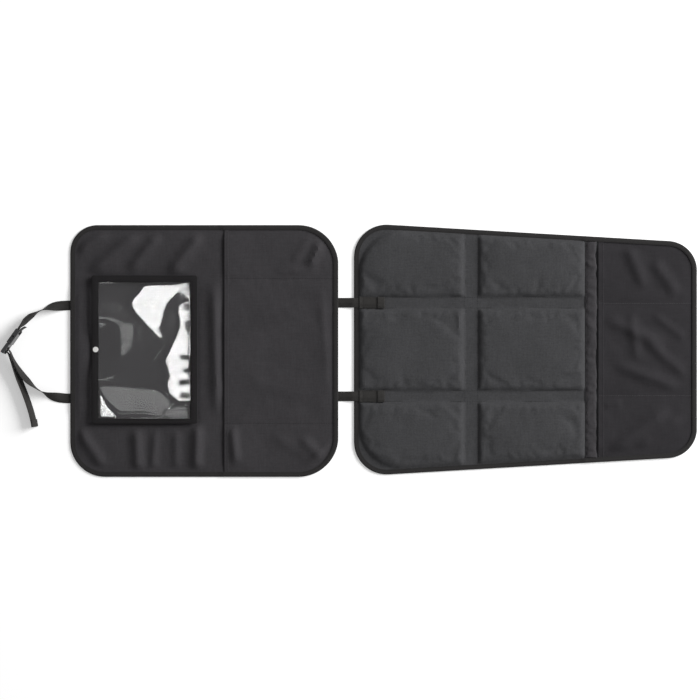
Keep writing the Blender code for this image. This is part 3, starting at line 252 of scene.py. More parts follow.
class Outline:
    """A panel's cloth edge: straight ends, long edges that may taper, and four round corners."""

    def __init__(self, start, length, centre, widths, corners, inset):
        self.x0 = start + inset
        self.x1 = start + length - inset
        self.centre = centre
        self.slope = (widths[1] - widths[0]) / 2 / length
        self.lean = math.hypot(1, self.slope)
        self.base = widths[0] / 2 - inset * self.lean - self.slope * start
        self.low = (corners[0][0] - inset, corners[1][0] - inset)
        self.high = (corners[0][1] - inset, corners[1][1] - inset)

    def line(self, x):
        """Half the width between the straight long edges at x."""
        return self.base + self.slope * x

    def half(self, x, corners):
        """The distance from the centre line to the edge at x."""
        for centre, radius, side in self.ends(corners):
            if (x - centre + radius * self.slope / self.lean) * side > 0:
                rise = math.sqrt(max(0.0, radius**2 - (x - centre) ** 2))
                return self.line(centre) - radius * self.lean + rise
        return self.line(x)

    def ends(self, corners):
        """The centre along x, radius and outward side of the corners on one long edge."""
        return (self.x0 + corners[0], corners[0], -1), (self.x1 - corners[1], corners[1], 1)

    def limits(self, x):
        """The y of the low and of the high edge at x."""
        return self.centre - self.half(x, self.low), self.centre + self.half(x, self.high)

    def across(self, x, j, count):
        """The j-th of count even steps across the panel at x."""
        low, high = self.limits(x)
        return low + (high - low) * j / count

    def inset_at(self, x, y):
        """How far inside the edge a point lies."""
        corners = self.high if y > self.centre else self.low
        across = abs(y - self.centre)
        found = [x - self.x0, self.x1 - x, (self.line(x) - across) / self.lean]
        for middle, radius, side in self.ends(corners):
            up = across - (self.line(middle) - radius * self.lean)
            along = (x - middle) * side
            if up > 0 and along > 0:
                found.append(radius - math.hypot(along, up))
        return min(found)

    def columns(self, step, start=None):
        """Places along x at about step, closer together where the corners turn."""
        first = max(self.low[0], self.high[0])
        last = max(self.low[1], self.high[1])
        turns = spaced(0.0, math.pi / 2, 18)
        found = [self.x0 + first * (1 - math.cos(a)) for a in turns]
        found += [self.x1 - last * (1 - math.cos(a)) for a in turns]
        count = round((self.x1 - last - self.x0 - first) / step)
        found += spaced(self.x0 + first, self.x1 - last, count)
        kept = []
        for x in sorted(found):
            if not kept or x - kept[-1] > 0.0004:
                kept.append(x)
        if start is None:
            return kept
        return [start] + [x for x in kept if x > start + 0.0008]

    def rim(self, step):
        """Points evenly round the edge, anticlockwise, with the outward direction at each."""
        columns = self.columns(step)
        walk = [Vector((x, self.limits(x)[0])) for x in columns]
        walk += [Vector((x, self.limits(x)[1])) for x in reversed(columns)]
        walk.append(walk[0])
        total = sum((b - a).length for a, b in zip(walk, walk[1:]))
        count = round(total / step)
        points, done, k = [], 0.0, 0
        for m in range(count):
            goal = total * m / count
            while done + (walk[k + 1] - walk[k]).length < goal:
                done += (walk[k + 1] - walk[k]).length
                k += 1
            span = (walk[k + 1] - walk[k]).length
            points.append(walk[k].lerp(walk[k + 1], (goal - done) / span if span else 0.0))
        found = []
        for m, point in enumerate(points):
            along = (points[(m + 1) % count] - points[m - 1]).normalized()
            found.append((point, Vector((along.y, -along.x))))
        return found


BACK_CORNERS = ((0.068, 0.053), (0.078, 0.078))
BACK = Outline(BACK_X, BACK_END - BACK_X, BACK_CENTRE_Y, (2 * BACK_HALF, 2 * BACK_HALF), BACK_CORNERS, FOLD)


def seat_outline(inset, extra=0.0):
    """The padded panel's edge moved in by inset, with its corners rounder by extra."""
    rear, front = 0.064 + extra, 0.058 + extra
    corners = ((rear, rear), (front, front))
    widths = (2 * SEAT_HALF, FRONT_WIDTH)
    return Outline(SEAT_X, SEAT_END - SEAT_X, SEAT_CENTRE_Y, widths, corners, inset)


SEAT = seat_outline(FOLD)
PAD_FOOT = seat_outline(PAD_INSET, 0.0280)


def mesh_of(name, bm):
    """A new mesh with the shape worked out in bm."""
    mesh = bpy.data.meshes.new(name)
    bm.to_mesh(mesh)
    bm.free()
    return mesh


def linked(name, data):
    """A new object in the scene."""
    made = bpy.data.objects.new(name, data)
    bpy.context.scene.collection.objects.link(made)
    return made


def new_piece(name, bm, finish, nodes=(), angle=40):
    """Makes a finished piece of the mesh, which rides on the root and may stand for solids."""
    bmesh.ops.recalc_face_normals(bm, faces=bm.faces[:])
    mesh = mesh_of(name, bm)
    mesh.materials.append(finish)
    mesh.shade_smooth()
    mesh.set_sharp_from_angle(angle=math.radians(angle))
    piece = linked(name, mesh)
    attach(piece, "root")
    if nodes:
        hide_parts(*nodes)
    return piece


def laid_grid(bm, across, up, place):
    """A grid whose points go to place(i, j), which gives (position, uv in metres)."""
    bmesh.ops.create_grid(bm, x_segments=across, y_segments=up, size=0.5)
    layer = bm.loops.layers.uv.new("cloth")
    spots = {}
    for vert in bm.verts:
        i, j = round((vert.co.x + 0.5) * across), round((vert.co.y + 0.5) * up)
        position, spots[vert] = place(i, j)
        vert.co = position
    for face in bm.faces:
        for loop in face.loops:
            loop[layer].uv = spots[loop.vert]


def thicken(bm, thickness):
    """Makes a closed solid of a sheet, with a copy of it raised by thickness(x, y)."""
    grown = bmesh.ops.extrude_face_region(bm, geom=bm.faces[:], use_keep_orig=True)
    for item in grown["geom"]:
        if isinstance(item, bmesh.types.BMVert):
            item.co.z += thickness(item.co.x, item.co.y)


def one_cloth(x, y):
    """The thickness of a single layer anywhere on a sheet."""
    return CLOTH


def sheet_mesh(outline, columns, up, underside, thickness=one_cloth):
    """A sheet that fills an outline over the columns, as a closed solid over its underside."""
    bm = bmesh.new()

    def place(i, j):
        x = columns[i]
        y = outline.across(x, j, up)
        return Vector((x, y, underside(x, y))), (x, y)

    laid_grid(bm, len(columns) - 1, up, place)
    thicken(bm, thickness)
    return bm


def hemmed(hem_end):
    """The thickness of a pocket's cloth, which is folded over at its mouth up to hem_end."""
    return lambda x, y: HEM if x < hem_end + 0.0001 else CLOTH


def swept_mesh(sections, closed, lengths=None):
    """A solid through sections of equal point count, joined round, and open or closed along."""
    bm = bmesh.new()
    count, around = len(sections), len(sections[0])
    along = [0.0]
    for a, b in zip(sections, sections[1:]):
        along.append(along[-1] + (Vector(b[0]) - Vector(a[0])).length)
    girth = [0.0]
    for m in range(around):
        girth.append(girth[-1] + (Vector(sections[0][(m + 1) % around]) - Vector(sections[0][m])).length)
    if lengths:
        girth = lengths
    step = along[-1] / max(1, count - 1)

    def place(i, j):
        u = along[i] if i < count else along[-1] + step
        return Vector(sections[i % count][j % around]), (u, girth[j])

    laid_grid(bm, count if closed else count - 1, around, place)
    bmesh.ops.remove_doubles(bm, verts=bm.verts[:], dist=0.000002)
    if not closed:
        bmesh.ops.holes_fill(bm, edges=[edge for edge in bm.edges if edge.is_boundary], sides=0)
    return bm


# Heights of the layers, as the solids have them, with the cloth's own ripples on top


def strap_lift(x, y):
    """How far the back panel rises over the strap ends that are sewn under it."""
    across = 1 - ramp(abs(y - BACK_CENTRE_Y), LIFT_HALF, LIFT_HALF + 0.028)
    head = 1 - ramp(x - BACK_X, HEAD_ROOT, HEAD_ROOT + 0.0140)
    link = 1 - ramp(BACK_END - x, LINK_ROOT, LINK_ROOT + 0.035)
    return STRAP_LIFT * across * max(head, link)


def along_crease(x, y, crease):
    """The height that one soft crease (start, end, half width, height) gives a point."""
    (x0, y0), (x1, y1), width, height = crease
    dx, dy = x1 - x0, y1 - y0
    t = ((x - x0) * dx + (y - y0) * dy) / (dx * dx + dy * dy)
    middle = min(1.0, max(0.0, t))
    away = math.hypot(x - x0 - dx * middle, y - y0 - dy * middle) / width
    return height * math.exp(-away * away) * (1 - ramp(abs(2 * t - 1), 0.55, 1.15))


BACK_CREASES = (
    ((-0.416, -0.154), (-0.412, -0.242), 0.0100, 0.0072),
    ((-0.378, -0.156), (-0.384, -0.238), 0.0080, 0.0040),
    ((-0.338, -0.156), (-0.338, -0.236), 0.0085, 0.0036),
    ((-0.297, -0.146), (-0.299, -0.240), 0.0098, 0.0086),
    ((-0.533, 0.140), (-0.533, -0.150), 0.0080, 0.0046),
    ((-0.264, 0.130), (-0.258, -0.120), 0.0110, 0.0072),
    ((-0.535, 0.190), (-0.470, 0.228), 0.0095, 0.0048),
    ((-0.505, 0.150), (-0.410, 0.228), 0.0125, 0.0068),
    ((-0.430, 0.152), (-0.370, 0.226), 0.0110, 0.0056),
    ((-0.350, 0.148), (-0.290, 0.226), 0.0120, 0.0072),
    ((-0.528, -0.155), (-0.480, -0.228), 0.0100, 0.0064),
)
LOW_CREASES = (
    ((-0.078, 0.160), (-0.050, 0.225), 0.0085, 0.0068),
    ((-0.112, 0.168), (-0.070, 0.228), 0.0090, 0.0022),
    ((-0.095, -0.170), (-0.045, -0.222), 0.0095, 0.0056),
    ((-0.228, -0.150), (-0.222, -0.222), 0.0085, 0.0058),
    ((-0.084, -0.232), (-0.030, -0.178), 0.0090, 0.0040),
    ((-0.190, 0.060), (-0.060, 0.090), 0.0160, 0.0018),
    ((-0.200, -0.060), (-0.070, -0.090), 0.0160, 0.0018),
    ((-0.150, -0.165), (-0.070, -0.215), 0.0130, 0.0022),
    ((-0.057, 0.120), (-0.036, -0.100), 0.0080, 0.0020),
    ((-0.150, 0.152), (-0.060, 0.158), 0.0080, 0.0018),
)
FRONT_CREASES = (
    ((0.500, 0.060), (0.610, 0.010), 0.0120, 0.0048),
    ((0.520, -0.030), (0.640, -0.074), 0.0110, 0.0044),
    ((0.540, 0.205), (0.575, 0.120), 0.0120, 0.0048),
    ((0.590, 0.175), (0.640, 0.105), 0.0120, 0.0044),
    ((0.510, -0.195), (0.620, -0.120), 0.0130, 0.0056),
    ((0.560, -0.190), (0.650, -0.130), 0.0110, 0.0042),
    ((0.590, 0.070), (0.655, 0.020), 0.0090, 0.0028),
    ((0.548, 0.074), (0.560, -0.020), 0.0100, 0.0036),
    ((0.575, 0.020), (0.655, -0.050), 0.0100, 0.0036),
    ((0.496, -0.110), (0.530, -0.100), 0.0080, 0.0020),
)


def rippled(x, y, creases, seed):
    """Creases and small uneven ripples, never below 0."""
    amount = bpy.context.scene.protector_cloth.crumple
    height = sum(along_crease(x, y, crease) for crease in creases)
    height += 0.0009 * (0.5 + grain(x, y, 0.055, 0.040, seed))
    height += 0.0004 * (0.5 + grain(x + y * 0.4, y, 0.018, 0.030, seed + 7.0))
    return amount * max(0.0, height)


def under_tablet(x, y):
    """1 below the tablet pocket, where the panel is held flat, and 0 away from it."""
    inside = min(x - TABLET_X, TABLET_END - x, TABLET_HALF - abs(y - TABLET_Y))
    return ramp(inside, -0.006, 0.002)


def back_height(x, y):
    """The top of the flat back cloth."""
    loose = ramp(BACK.inset_at(x, y), 0.0085, 0.026) * (1 - under_tablet(x, y))
    loose *= 1 - ramp(x, LOW_MOUTH_X - 0.016, LOW_MOUTH_X)
    return FOLD + strap_lift(x, y) + rippled(x, y, BACK_CREASES, 3.0) * loose


def low_pocket_height(x, y):
    """The underside of the lower pocket, a little open at its mouth between the seams."""
    seams = [BACK_CENTRE_Y + across for across in (-BACK_HALF, -LOW_SEAM_Y, LOW_SEAM_Y, BACK_HALF)]
    low, high = next(((a, b) for a, b in zip(seams, seams[1:]) if a <= y <= b), seams[:2])
    gape = (0.0010 + 0.0016 * math.sin(math.pi * (y - low) / (high - low))) * bump(x - LOW_MOUTH_X, 0.090)
    edge = ramp(BACK.inset_at(x, y), BINDING_WIDTH, 3 * BINDING_WIDTH)
    seam = abs(abs(y - BACK_CENTRE_Y) - LOW_SEAM_Y)
    loose = rippled(x, y, LOW_CREASES, 11.0) * (0.25 + 0.75 * ramp(seam, 0.0, 0.012))
    pucker = 0.0005 * (0.5 + grain(x, y, 0.006, 0.030, 19.0)) * bump(seam, 0.020)
    base = FOLD + strap_lift(x, y) + CLOTH + GAP
    return base + (max(0.0, gape) + loose + pucker) * edge


def tablet_underside(x, y):
    """Flat, but drawn down to the closed press stud in the middle of the mouth."""
    along = 1 - ramp(x - TABLET_X, BARS["mouth"], DIP_LENGTH)
    across = 1 - ramp(abs(y - TABLET_Y), STUD_FLAT, DIP_WIDTH)
    return FRAME_UNDER - (FRAME_UNDER - DIPPED_UNDER) * along * across


def pad_distance(x, y):
    """How far a point lies inside the nearest pad's foot."""
    across = abs(y - SEAT_CENTRE_Y)
    half_x, half_y = PAD_CHANNEL_X / 2, PAD_CHANNEL_Y / 2
    rear = min(x - SEAT_X - PAD_INSET, PAD_SPLIT_X - half_x - x)
    front = min(x - PAD_SPLIT_X - half_x, PADS_END - x)
    side = max(PAD_SPLIT_Y - half_y - across, across - PAD_SPLIT_Y - half_y)
    return min(max(rear, front), side, PAD_FOOT.inset_at(x, y))


class Swelling:
    """How far the cover's cloth moves between its seams under pressure, from a cloth simulation."""

    STEP = 0.0052
    ROWS = 92
    HELD = 0.0015
    FRAMES = 20
    MOST = 0.0019
    SETTINGS = {
        "quality": 7, "mass": 0.3, "tension_stiffness": 15.0, "compression_stiffness": 15.0,
        "shear_stiffness": 15.0, "bending_stiffness": 0.3, "vertex_group_mass": "seams",
        "shrink_min": -0.022, "shrink_max": -0.022, "use_pressure": True, "uniform_pressure_force": 1.3,
    }

    def __init__(self):
        self.columns = SEAT.columns(self.STEP)
        bm = bmesh.new()
        laid_grid(bm, len(self.columns) - 1, self.ROWS, self.place)
        bm.verts.index_update()
        order = {(round(v.co.x, 6), round(v.co.y, 6)): v.index for v in bm.verts}
        mesh = mesh_of("swelling", bm)
        sheet = linked("swelling", mesh)
        held = [v.index for v in mesh.vertices if pad_distance(v.co.x, v.co.y) < self.HELD]
        sheet.vertex_groups.new(name="seams").add(held, 1.0, "REPLACE")
        self.press(sheet)
        moved = self.settled(sheet)
        self.rise = {}
        for i in range(len(self.columns)):
            for j in range(self.ROWS + 1):
                spot = self.place(i, j)[0]
                index = order[(round(spot.x, 6), round(spot.y, 6))]
                self.rise[i, j] = moved[index] - mesh.vertices[index].co.z
        bpy.data.objects.remove(sheet)
        bpy.data.meshes.remove(mesh)

    def place(self, i, j):
        x = self.columns[i]
        y = SEAT.across(x, j, self.ROWS)
        return Vector((x, y, cover_height(x, y))), (x, y)

    def press(self, sheet):
        """Puts the cloth under pressure, held at its seams and without weight."""
        cloth = sheet.modifiers.new("Cloth", "CLOTH")
        for label, setting in self.SETTINGS.items():
            setattr(cloth.settings, label, setting)
        cloth.settings.effector_weights.gravity = 0.0
        cloth.point_cache.frame_start, cloth.point_cache.frame_end = 1, self.FRAMES

    def settled(self, sheet):
        """The heights of the sheet's points after the last frame."""
        scene = bpy.context.scene
        for number in range(1, self.FRAMES + 1):
            scene.frame_set(number)
        pressed = sheet.evaluated_get(bpy.context.evaluated_depsgraph_get())
        heights = [vertex.co.z for vertex in pressed.to_mesh().vertices]
        pressed.to_mesh_clear()
        scene.frame_set(1)
        return heights

    def at(self, x, y):
        """The rise at a point, between the grid's points and never more than the cap."""
        low, high = SEAT.limits(x)
        i = min(len(self.columns) - 2, max(0, bisect.bisect_right(self.columns, x) - 1))
        along = (x - self.columns[i]) / (self.columns[i + 1] - self.columns[i])
        across = min(self.ROWS - 0.000001, max(0.0, (y - low) / (high - low) * self.ROWS))
        j = int(across)
        across -= j
        near = self.rise[i, j] * (1 - across) + self.rise[i, j + 1] * across
        far = self.rise[i + 1, j] * (1 - across) + self.rise[i + 1, j + 1] * across
        rise = near + (far - near) * along
        return math.copysign(self.MOST * math.tanh(abs(rise) / self.MOST), rise)


def cover_height(x, y, swelling=None):
    """The underside of the padded cover: crowned over the foam and drawn down at its seams."""
    inside = pad_distance(x, y)
    if inside <= 0:
        edge = ramp(SEAT.inset_at(x, y), 0.0090, 0.016)
        flat = 1 - ramp(x, PADS_END - 0.002, PADS_END)
        return COVER_BASE + 0.0004 * (0.5 + grain(x, y, 0.020, 0.014, 5.0)) * edge * flat
    share = min(1.0, inside / 0.0130)
    rise = math.sqrt(max(0.0, 1 - (1 - share) ** 2.2))
    crown = 0.0011 * ramp(inside, 0.004, 0.070)
    pucker = 0.0009 * grain(x, y, 0.0115, 0.0115, 2.0) * bump(inside - 0.008, 0.020)
    loose = 0.0007 * grain(x, y, 0.050, 0.036, 9.0) + 0.0003 * grain(x, y, 0.016, 0.022, 13.0)
    loose += swelling.at(x, y) * ramp(inside, 0.001, 0.008) if swelling else 0.0
    return COVER_BASE + (FOAM + GAP + 0.0002) * rise + max(0.0, (crown + pucker + loose + 0.0006) * rise)


def front_pocket_height(x, y):
    """The underside of the front pocket, gaping a little at its mouth."""
    across = y - SEAT_CENTRE_Y
    inner = abs(across) < FRONT_SEAM_Y
    span = PAD_SPLIT_Y * 2 if inner else SEAT_HALF - FRONT_SEAM_Y
    share = across / span + 0.5 if inner else (abs(across) - FRONT_SEAM_Y) / span
    edge = ramp(SEAT.inset_at(x, y), BINDING_WIDTH, 3 * BINDING_WIDTH)
    gape = 0.0022 * math.sin(math.pi * min(1.0, max(0.0, share))) * bump(x - FRONT_MOUTH_X, 0.110)
    seam = abs(abs(across) - FRONT_SEAM_Y)
    loose = rippled(x, y, FRONT_CREASES, 23.0) * (0.3 + 0.7 * ramp(seam, 0.0, 0.014))
    wave = 0.0006 * (0.5 + grain(x, y, 0.030, 0.018, 29.0)) * bump(x - FRONT_MOUTH_X, 0.020)
    return COVER_TOP + GAP + (gape + loose + wave) * edge


def seat_leg(x, y):
    """The underside of the padded panel's upper binding leg."""
    return COVER_TOP + GAP + (STRIP_CLOSED + GAP) * ramp(x, PADS_END - 0.008, PADS_END)


def back_leg(x, y):
    """The underside of the back panel's upper binding leg."""
    pocket = ramp(x, LOW_MOUTH_X - 0.012, LOW_MOUTH_X - 0.001)
    return FOLD + strap_lift(x, y) + CLOTH + GAP + (HEM + GAP) * pocket


# Finishes: shader values that take part in plain expressions


class Value:
    """One output of a shader node."""

    def __init__(self, nodes, socket):
        self.nodes = nodes
        self.socket = socket

    def maths(self, operation, other, flipped=False):
        pair = (other, self) if flipped else (self, other)
        return self.nodes.node("ShaderNodeMath", {"operation": operation}, dict(enumerate(pair)))

    def __add__(self, other):
        return self.maths("ADD", other)

    def __sub__(self, other):
        return self.maths("SUBTRACT", other)

    def __rsub__(self, other):
        return self.maths("SUBTRACT", other, flipped=True)

    def __mul__(self, other):
        return self.maths("MULTIPLY", other)

    __radd__ = __add__
    __rmul__ = __mul__


class Nodes:
    """The shader nodes of a material or of the world, made one call at a time."""

    def __init__(self, tree):
        self.tree = tree

    def node(self, kind, settings=None, values=None, out=0):
        made = self.tree.nodes.new(kind)
        for label, setting in (settings or {}).items():
            setattr(made, label, setting)
        for label, amount in (values or {}).items():
            if isinstance(amount, Value):
                self.tree.links.new(amount.socket, made.inputs[label])
            else:
                made.inputs[label].default_value = amount
        return Value(self, made.outputs[out])

    def place(self, kind="Object"):
        return self.node("ShaderNodeTexCoord", out=kind)

    def axes(self, place):
        """The x, y and z of a place."""
        split = self.node("ShaderNodeSeparateXYZ", None, {0: place}).socket.node
        return [Value(self, split.outputs[k]) for k in range(3)]

    def wave(self, value, pitch):
        """A sine of the value, from 0 to 1, once each pitch."""
        turned = value * (math.tau / pitch)
        return self.node("ShaderNodeMath", {"operation": "SINE"}, {0: turned}) * 0.5 + 0.5

    def noise(self, place, scale, detail=2.0, roughness=0.5):
        values = {"Vector": place, "Scale": scale, "Detail": detail, "Roughness": roughness}
        return self.node("ShaderNodeTexNoise", None, values, out="Fac")

    def stretch(self, place, scale):
        return self.node("ShaderNodeMapping", None, {"Vector": place, "Scale": scale})

    def tint(self, colour, amount):
        """A colour made lighter or darker by a value about 1."""
        grey = self.node("ShaderNodeCombineXYZ", None, {0: amount, 1: amount, 2: amount})
        return self.node("ShaderNodeVectorMath", {"operation": "MULTIPLY"}, {0: tuple(colour), 1: grey})

    def relief(self, height, distance, strength=1.0, below=None):
        values = {"Height": height, "Distance": distance, "Strength": strength}
        if below is not None:
            values["Normal"] = below
        return self.node("ShaderNodeBump", None, values, out="Normal")

    def seen_directly(self):
        """1 for what the camera sees straight, in gloss or through film, and 0 for other light."""
        path = self.node("ShaderNodeLightPath").socket.node
        rays = [Value(self, path.outputs[f"Is {kind} Ray"]) for kind in ("Camera", "Glossy", "Transmission")]
        total = rays[0] + rays[1] + rays[2]
        return self.node("ShaderNodeMath", {"operation": "MINIMUM"}, {0: total, 1: 1.0})


class Finish(Nodes):
    """A material with one Principled BSDF, whose constants are given by name."""

    def __init__(self, name, **constants):
        self.material = bpy.data.materials.new(name)
        self.material.use_nodes = True
        super().__init__(self.material.node_tree)
        self.shader = self.tree.nodes["Principled BSDF"]
        for label, amount in constants.items():
            self.shader.inputs[label.replace("_", " ")].default_value = amount

    def feed(self, label, value):
        self.tree.links.new(value.socket, self.shader.inputs[label])

    def surface(self, colour, shade, roughness, normal):
        """Feeds the colour times its shade, the roughness and the normal."""
        self.feed("Base Color", self.tint(colour, shade))
        self.feed("Roughness", roughness)
        self.feed("Normal", normal)


def woven_cloth(name, colour, pitch, roughness, sheen, fuzz=0.10):
    """Plain-woven cloth with slubs, faint dust and a soft sheen."""
    made = Finish(name, Sheen_Weight=sheen, Sheen_Roughness=0.5, Specular_IOR_Level=0.10)
    place = made.place()
    x, y, _ = made.axes(place)
    over = made.wave(x + y, pitch)
    under = made.wave(x - y, pitch)
    threads = over * under
    slub = made.noise(made.stretch(place, (1.0, 0.10, 1.0)), 420.0, 2.0) * 0.5
    slub = slub + made.noise(made.stretch(place, (0.10, 1.0, 1.0)), 420.0, 2.0) * 0.5
    cloud = made.noise(place, 14.0, 3.0)
    dust = made.noise(place, 260.0, 3.0, 0.7)
    level = 1 - 0.17 - 0.28 - fuzz * 2.0 - 0.05
    shade = cloud * 0.34 + slub * 0.56 + dust * fuzz * 4.0 + threads * 0.20 + level
    fine = made.relief(threads, 0.00012, 0.6)
    normal = made.relief(slub * 0.5 + dust * 0.5, 0.00012, 0.5, below=fine)
    made.surface(colour, shade, dust * 0.16 + (roughness - 0.08), normal)


def ribbed_tape(name, colour, rib, sheen=0.03):
    """Woven tape whose ribs run across its length."""
    made = Finish(name, Sheen_Weight=sheen, Sheen_Roughness=0.5, Specular_IOR_Level=0.10)
    along, across, _ = made.axes(made.place("UV"))
    ribs = made.wave(along, rib)
    threads = made.wave(across, rib * 0.6)
    dust = made.noise(made.place(), 240.0, 3.0, 0.7)
    cloud = made.noise(made.place(), 20.0, 2.0)
    shade = ribs * 0.22 + threads * 0.08 + dust * 0.24 + cloud * 0.14 + 0.66
    fine = made.relief(ribs, 0.00022, 0.8)
    normal = made.relief(threads * 0.5 + dust * 0.5, 0.0001, 0.5, below=fine)
    made.surface(colour, shade, dust * 0.16 + 0.72, normal)


def flat_webbing(name, colour):
    """Polypropylene webbing: chevrons along two tracks between plain edges."""
    made = Finish(name, Sheen_Weight=0.03, Sheen_Roughness=0.4, Specular_IOR_Level=0.14)
    along, across, _ = made.axes(made.place("UV"))
    folded = made.node("ShaderNodeMath", {"operation": "PINGPONG"}, {0: across, 1: STRAP_WIDTH / 4})
    chevrons = made.wave(along + folded, 0.0016)
    cords = made.wave(across, 0.0012)
    dust = made.noise(made.place(), 300.0, 3.0, 0.7)
    cloud = made.noise(made.place(), 24.0, 2.0)
    shade = chevrons * 0.34 + cords * 0.10 + dust * 0.20 + cloud * 0.14 + 0.61
    fine = made.relief(chevrons, 0.00025, 0.8)
    made.surface(colour, shade, dust * 0.20 + 0.58, made.relief(cords, 0.00012, 0.5, below=fine))


def moulded_plastic(name, colour, roughness):
    """Satin plastic with a fine spark-eroded grain and rubbed high spots."""
    made = Finish(name, Specular_IOR_Level=0.38)
    place = made.place()
    cell = made.noise(place, 1900.0, 2.0)
    rub = made.noise(place, 160.0, 3.0, 0.65)
    shade = rub * 0.30 + cell * 0.14 + 0.78
    made.surface(colour, shade, rub * 0.14 + (roughness - 0.07), made.relief(cell, 0.00005, 0.5))


def plated_metal(name, colour):
    """Bright plating with faint turning marks and small scuffs."""
    made = Finish(name, Metallic=1.0)
    place = made.place()
    scuff = made.noise(made.stretch(place, (1.0, 5.0, 1.0)), 900.0, 3.0, 0.7)
    made.surface(colour, scuff * 0.16 + 0.92, scuff * 0.12 + 0.09, made.relief(scuff, 0.00003, 0.4))


def clear_film(name, haze):
    """Soft glossy film, mostly see-through, with faint rub marks."""
    made = Finish(name, Specular_IOR_Level=0.75, Coat_Roughness=0.03)
    place = made.place()
    marks = made.noise(made.stretch(place, (1.0, 0.25, 1.0)), 40.0, 1.0)
    soft = made.noise(place, 22.0, 1.0)
    relief = made.relief(soft, 0.0004, 0.2)
    made.surface((0.035, 0.035, 0.036), marks * 0.4 + 0.8, marks * 0.04 + 0.045, relief)
    made.feed("Alpha", soft * 0.04 + marks * 0.035 + (haze - 0.0375))
    made.feed("Coat Weight", marks * 0.1 + 0.9)


def open_foam(name, colour):
    """Grey foam with open cells."""
    made = Finish(name, Specular_IOR_Level=0.2)
    cells = made.node("ShaderNodeTexVoronoi", None, {"Vector": made.place(), "Scale": 900.0})
    dust = made.noise(made.place(), 60.0, 3.0)
    made.surface(colour, cells * 0.5 + dust * 0.2 + 0.65, dust * 0.1 + 0.88, made.relief(cells, 0.0003, 0.7))


def finishes():
    """All the finishes by name, made once from the settings."""
    if "binding tape" not in bpy.data.materials:
        scene = bpy.context.scene
        cloth, tablet, buckle = scene.protector_cloth, scene.protector_tablet, scene.protector_buckle
        pitch = cloth.weave_pitch
        woven_cloth("back cloth", cloth.back_colour, pitch, 0.74, 0.03)
        woven_cloth("pad cloth", cloth.pad_colour, pitch * 0.8, 0.86, 0.03, 0.16)
        woven_cloth("pocket cloth", cloth.pocket_colour, pitch, 0.78, 0.03)
        woven_cloth("backing cloth", (0.050, 0.050, 0.052), pitch * 1.6, 0.92, 0.05)
        woven_cloth("frame cloth", tablet.frame_colour, pitch * 0.7, 0.70, 0.02)
        ribbed_tape("binding tape", cloth.tape_colour, 0.0011)
        ribbed_tape("sewing thread", (0.013, 0.012, 0.013), 0.0004)
        ribbed_tape("pocket thread", (0.085, 0.083, 0.086), 0.0004)
        flat_webbing("strap webbing", cloth.webbing_colour)
        moulded_plastic("buckle plastic", buckle.plastic_colour, buckle.plastic_roughness)
        plated_metal("stud plating", buckle.metal_colour)
        clear_film("window film", tablet.film_haze)
        open_foam("pad foam", (0.30, 0.30, 0.31))
    return bpy.data.materials


def bound_edge(name, outline, low_leg, high_leg, nodes, seed):
    """Folded tape round a panel: a flat leg under it, a round fold and a leg on top."""
    inner = -(BINDING_WIDTH - FOLD)
    sections = []
    for (x, y), out in outline.rim(0.0040):
        low, high = low_leg(x, y), high_leg(x, y)
        puff = 0.00022 * grain(x, y, 0.009, seed=seed)
        top = high + TAPE + max(0.0, puff)
        reach = FOLD - 0.00012 * (1 + grain(x, y, 0.013, seed=seed + 4))
        middle, tall = (low + top) / 2, (top - low) / 2
        spots = [(inner, low)]
        for angle in spaced(-math.pi / 2, math.pi / 2, 6):
            spots.append((reach - 0.0011 + 0.0011 * math.cos(angle), middle + tall * math.sin(angle)))
        spots += [(-0.0020, top + 0.00015), (-0.0050, top + 0.00022), (-0.0071, top - 0.0001)]
        spots += [(inner, high + TAPE * 0.75), (inner, high), (GAP, high)]
        spots += [(GAP, low + TAPE), (inner, low + TAPE)]
        sections.append([(x + out.x * d, y + out.y * d, z) for d, z in spots])
    bm = swept_mesh(sections, closed=True)
    return new_piece(name, bm, finishes()["binding tape"], nodes, angle=55)


def sewn_rows(name, runs, pitch=0.0034, length=0.0025, width=0.00042, thread="sewing thread"):
    """Rows of single stitches along runs of (x, y, z) points."""
    bm = bmesh.new()
    for run in runs:
        spare = 0.0
        for a, b in zip(run, run[1:]):
            a, b = Vector(a), Vector(b)
            span = (b - a).length
            if span < 1e-6:
                continue
            turn = (b - a).to_track_quat("X", "Z").to_matrix().to_4x4()
            done = spare
            size = Matrix.Diagonal((length, width, width * 0.8, 1.0))
            while done < span:
                place = Matrix.Translation(a.lerp(b, done / span)) @ turn @ size
                bmesh.ops.create_icosphere(bm, subdivisions=1, radius=0.5, matrix=place)
                done += pitch
            spare = done - span
    return new_piece(name, bm, finishes()[thread], angle=80)


def tape_run(outline, leg):
    """The closed run of stitches through a bound edge, whose upper leg's underside is at leg(x, y)."""
    run = []
    for point, out in outline.rim(0.006):
        x, y = point.x - out.x * TAPE_SEAM, point.y - out.y * TAPE_SEAM
        run.append((x, y, leg(x, y) + TAPE + TAPE_THREAD_LIFT))
    return run + run[:1]


def straight_run(xs, ys, count, height):
    """A straight run of stitches on the surface at height(x, y), over the ranges xs and ys."""
    return [(x, y, height(x, y)) for x, y in zip(spaced(*xs, count), spaced(*ys, count))]


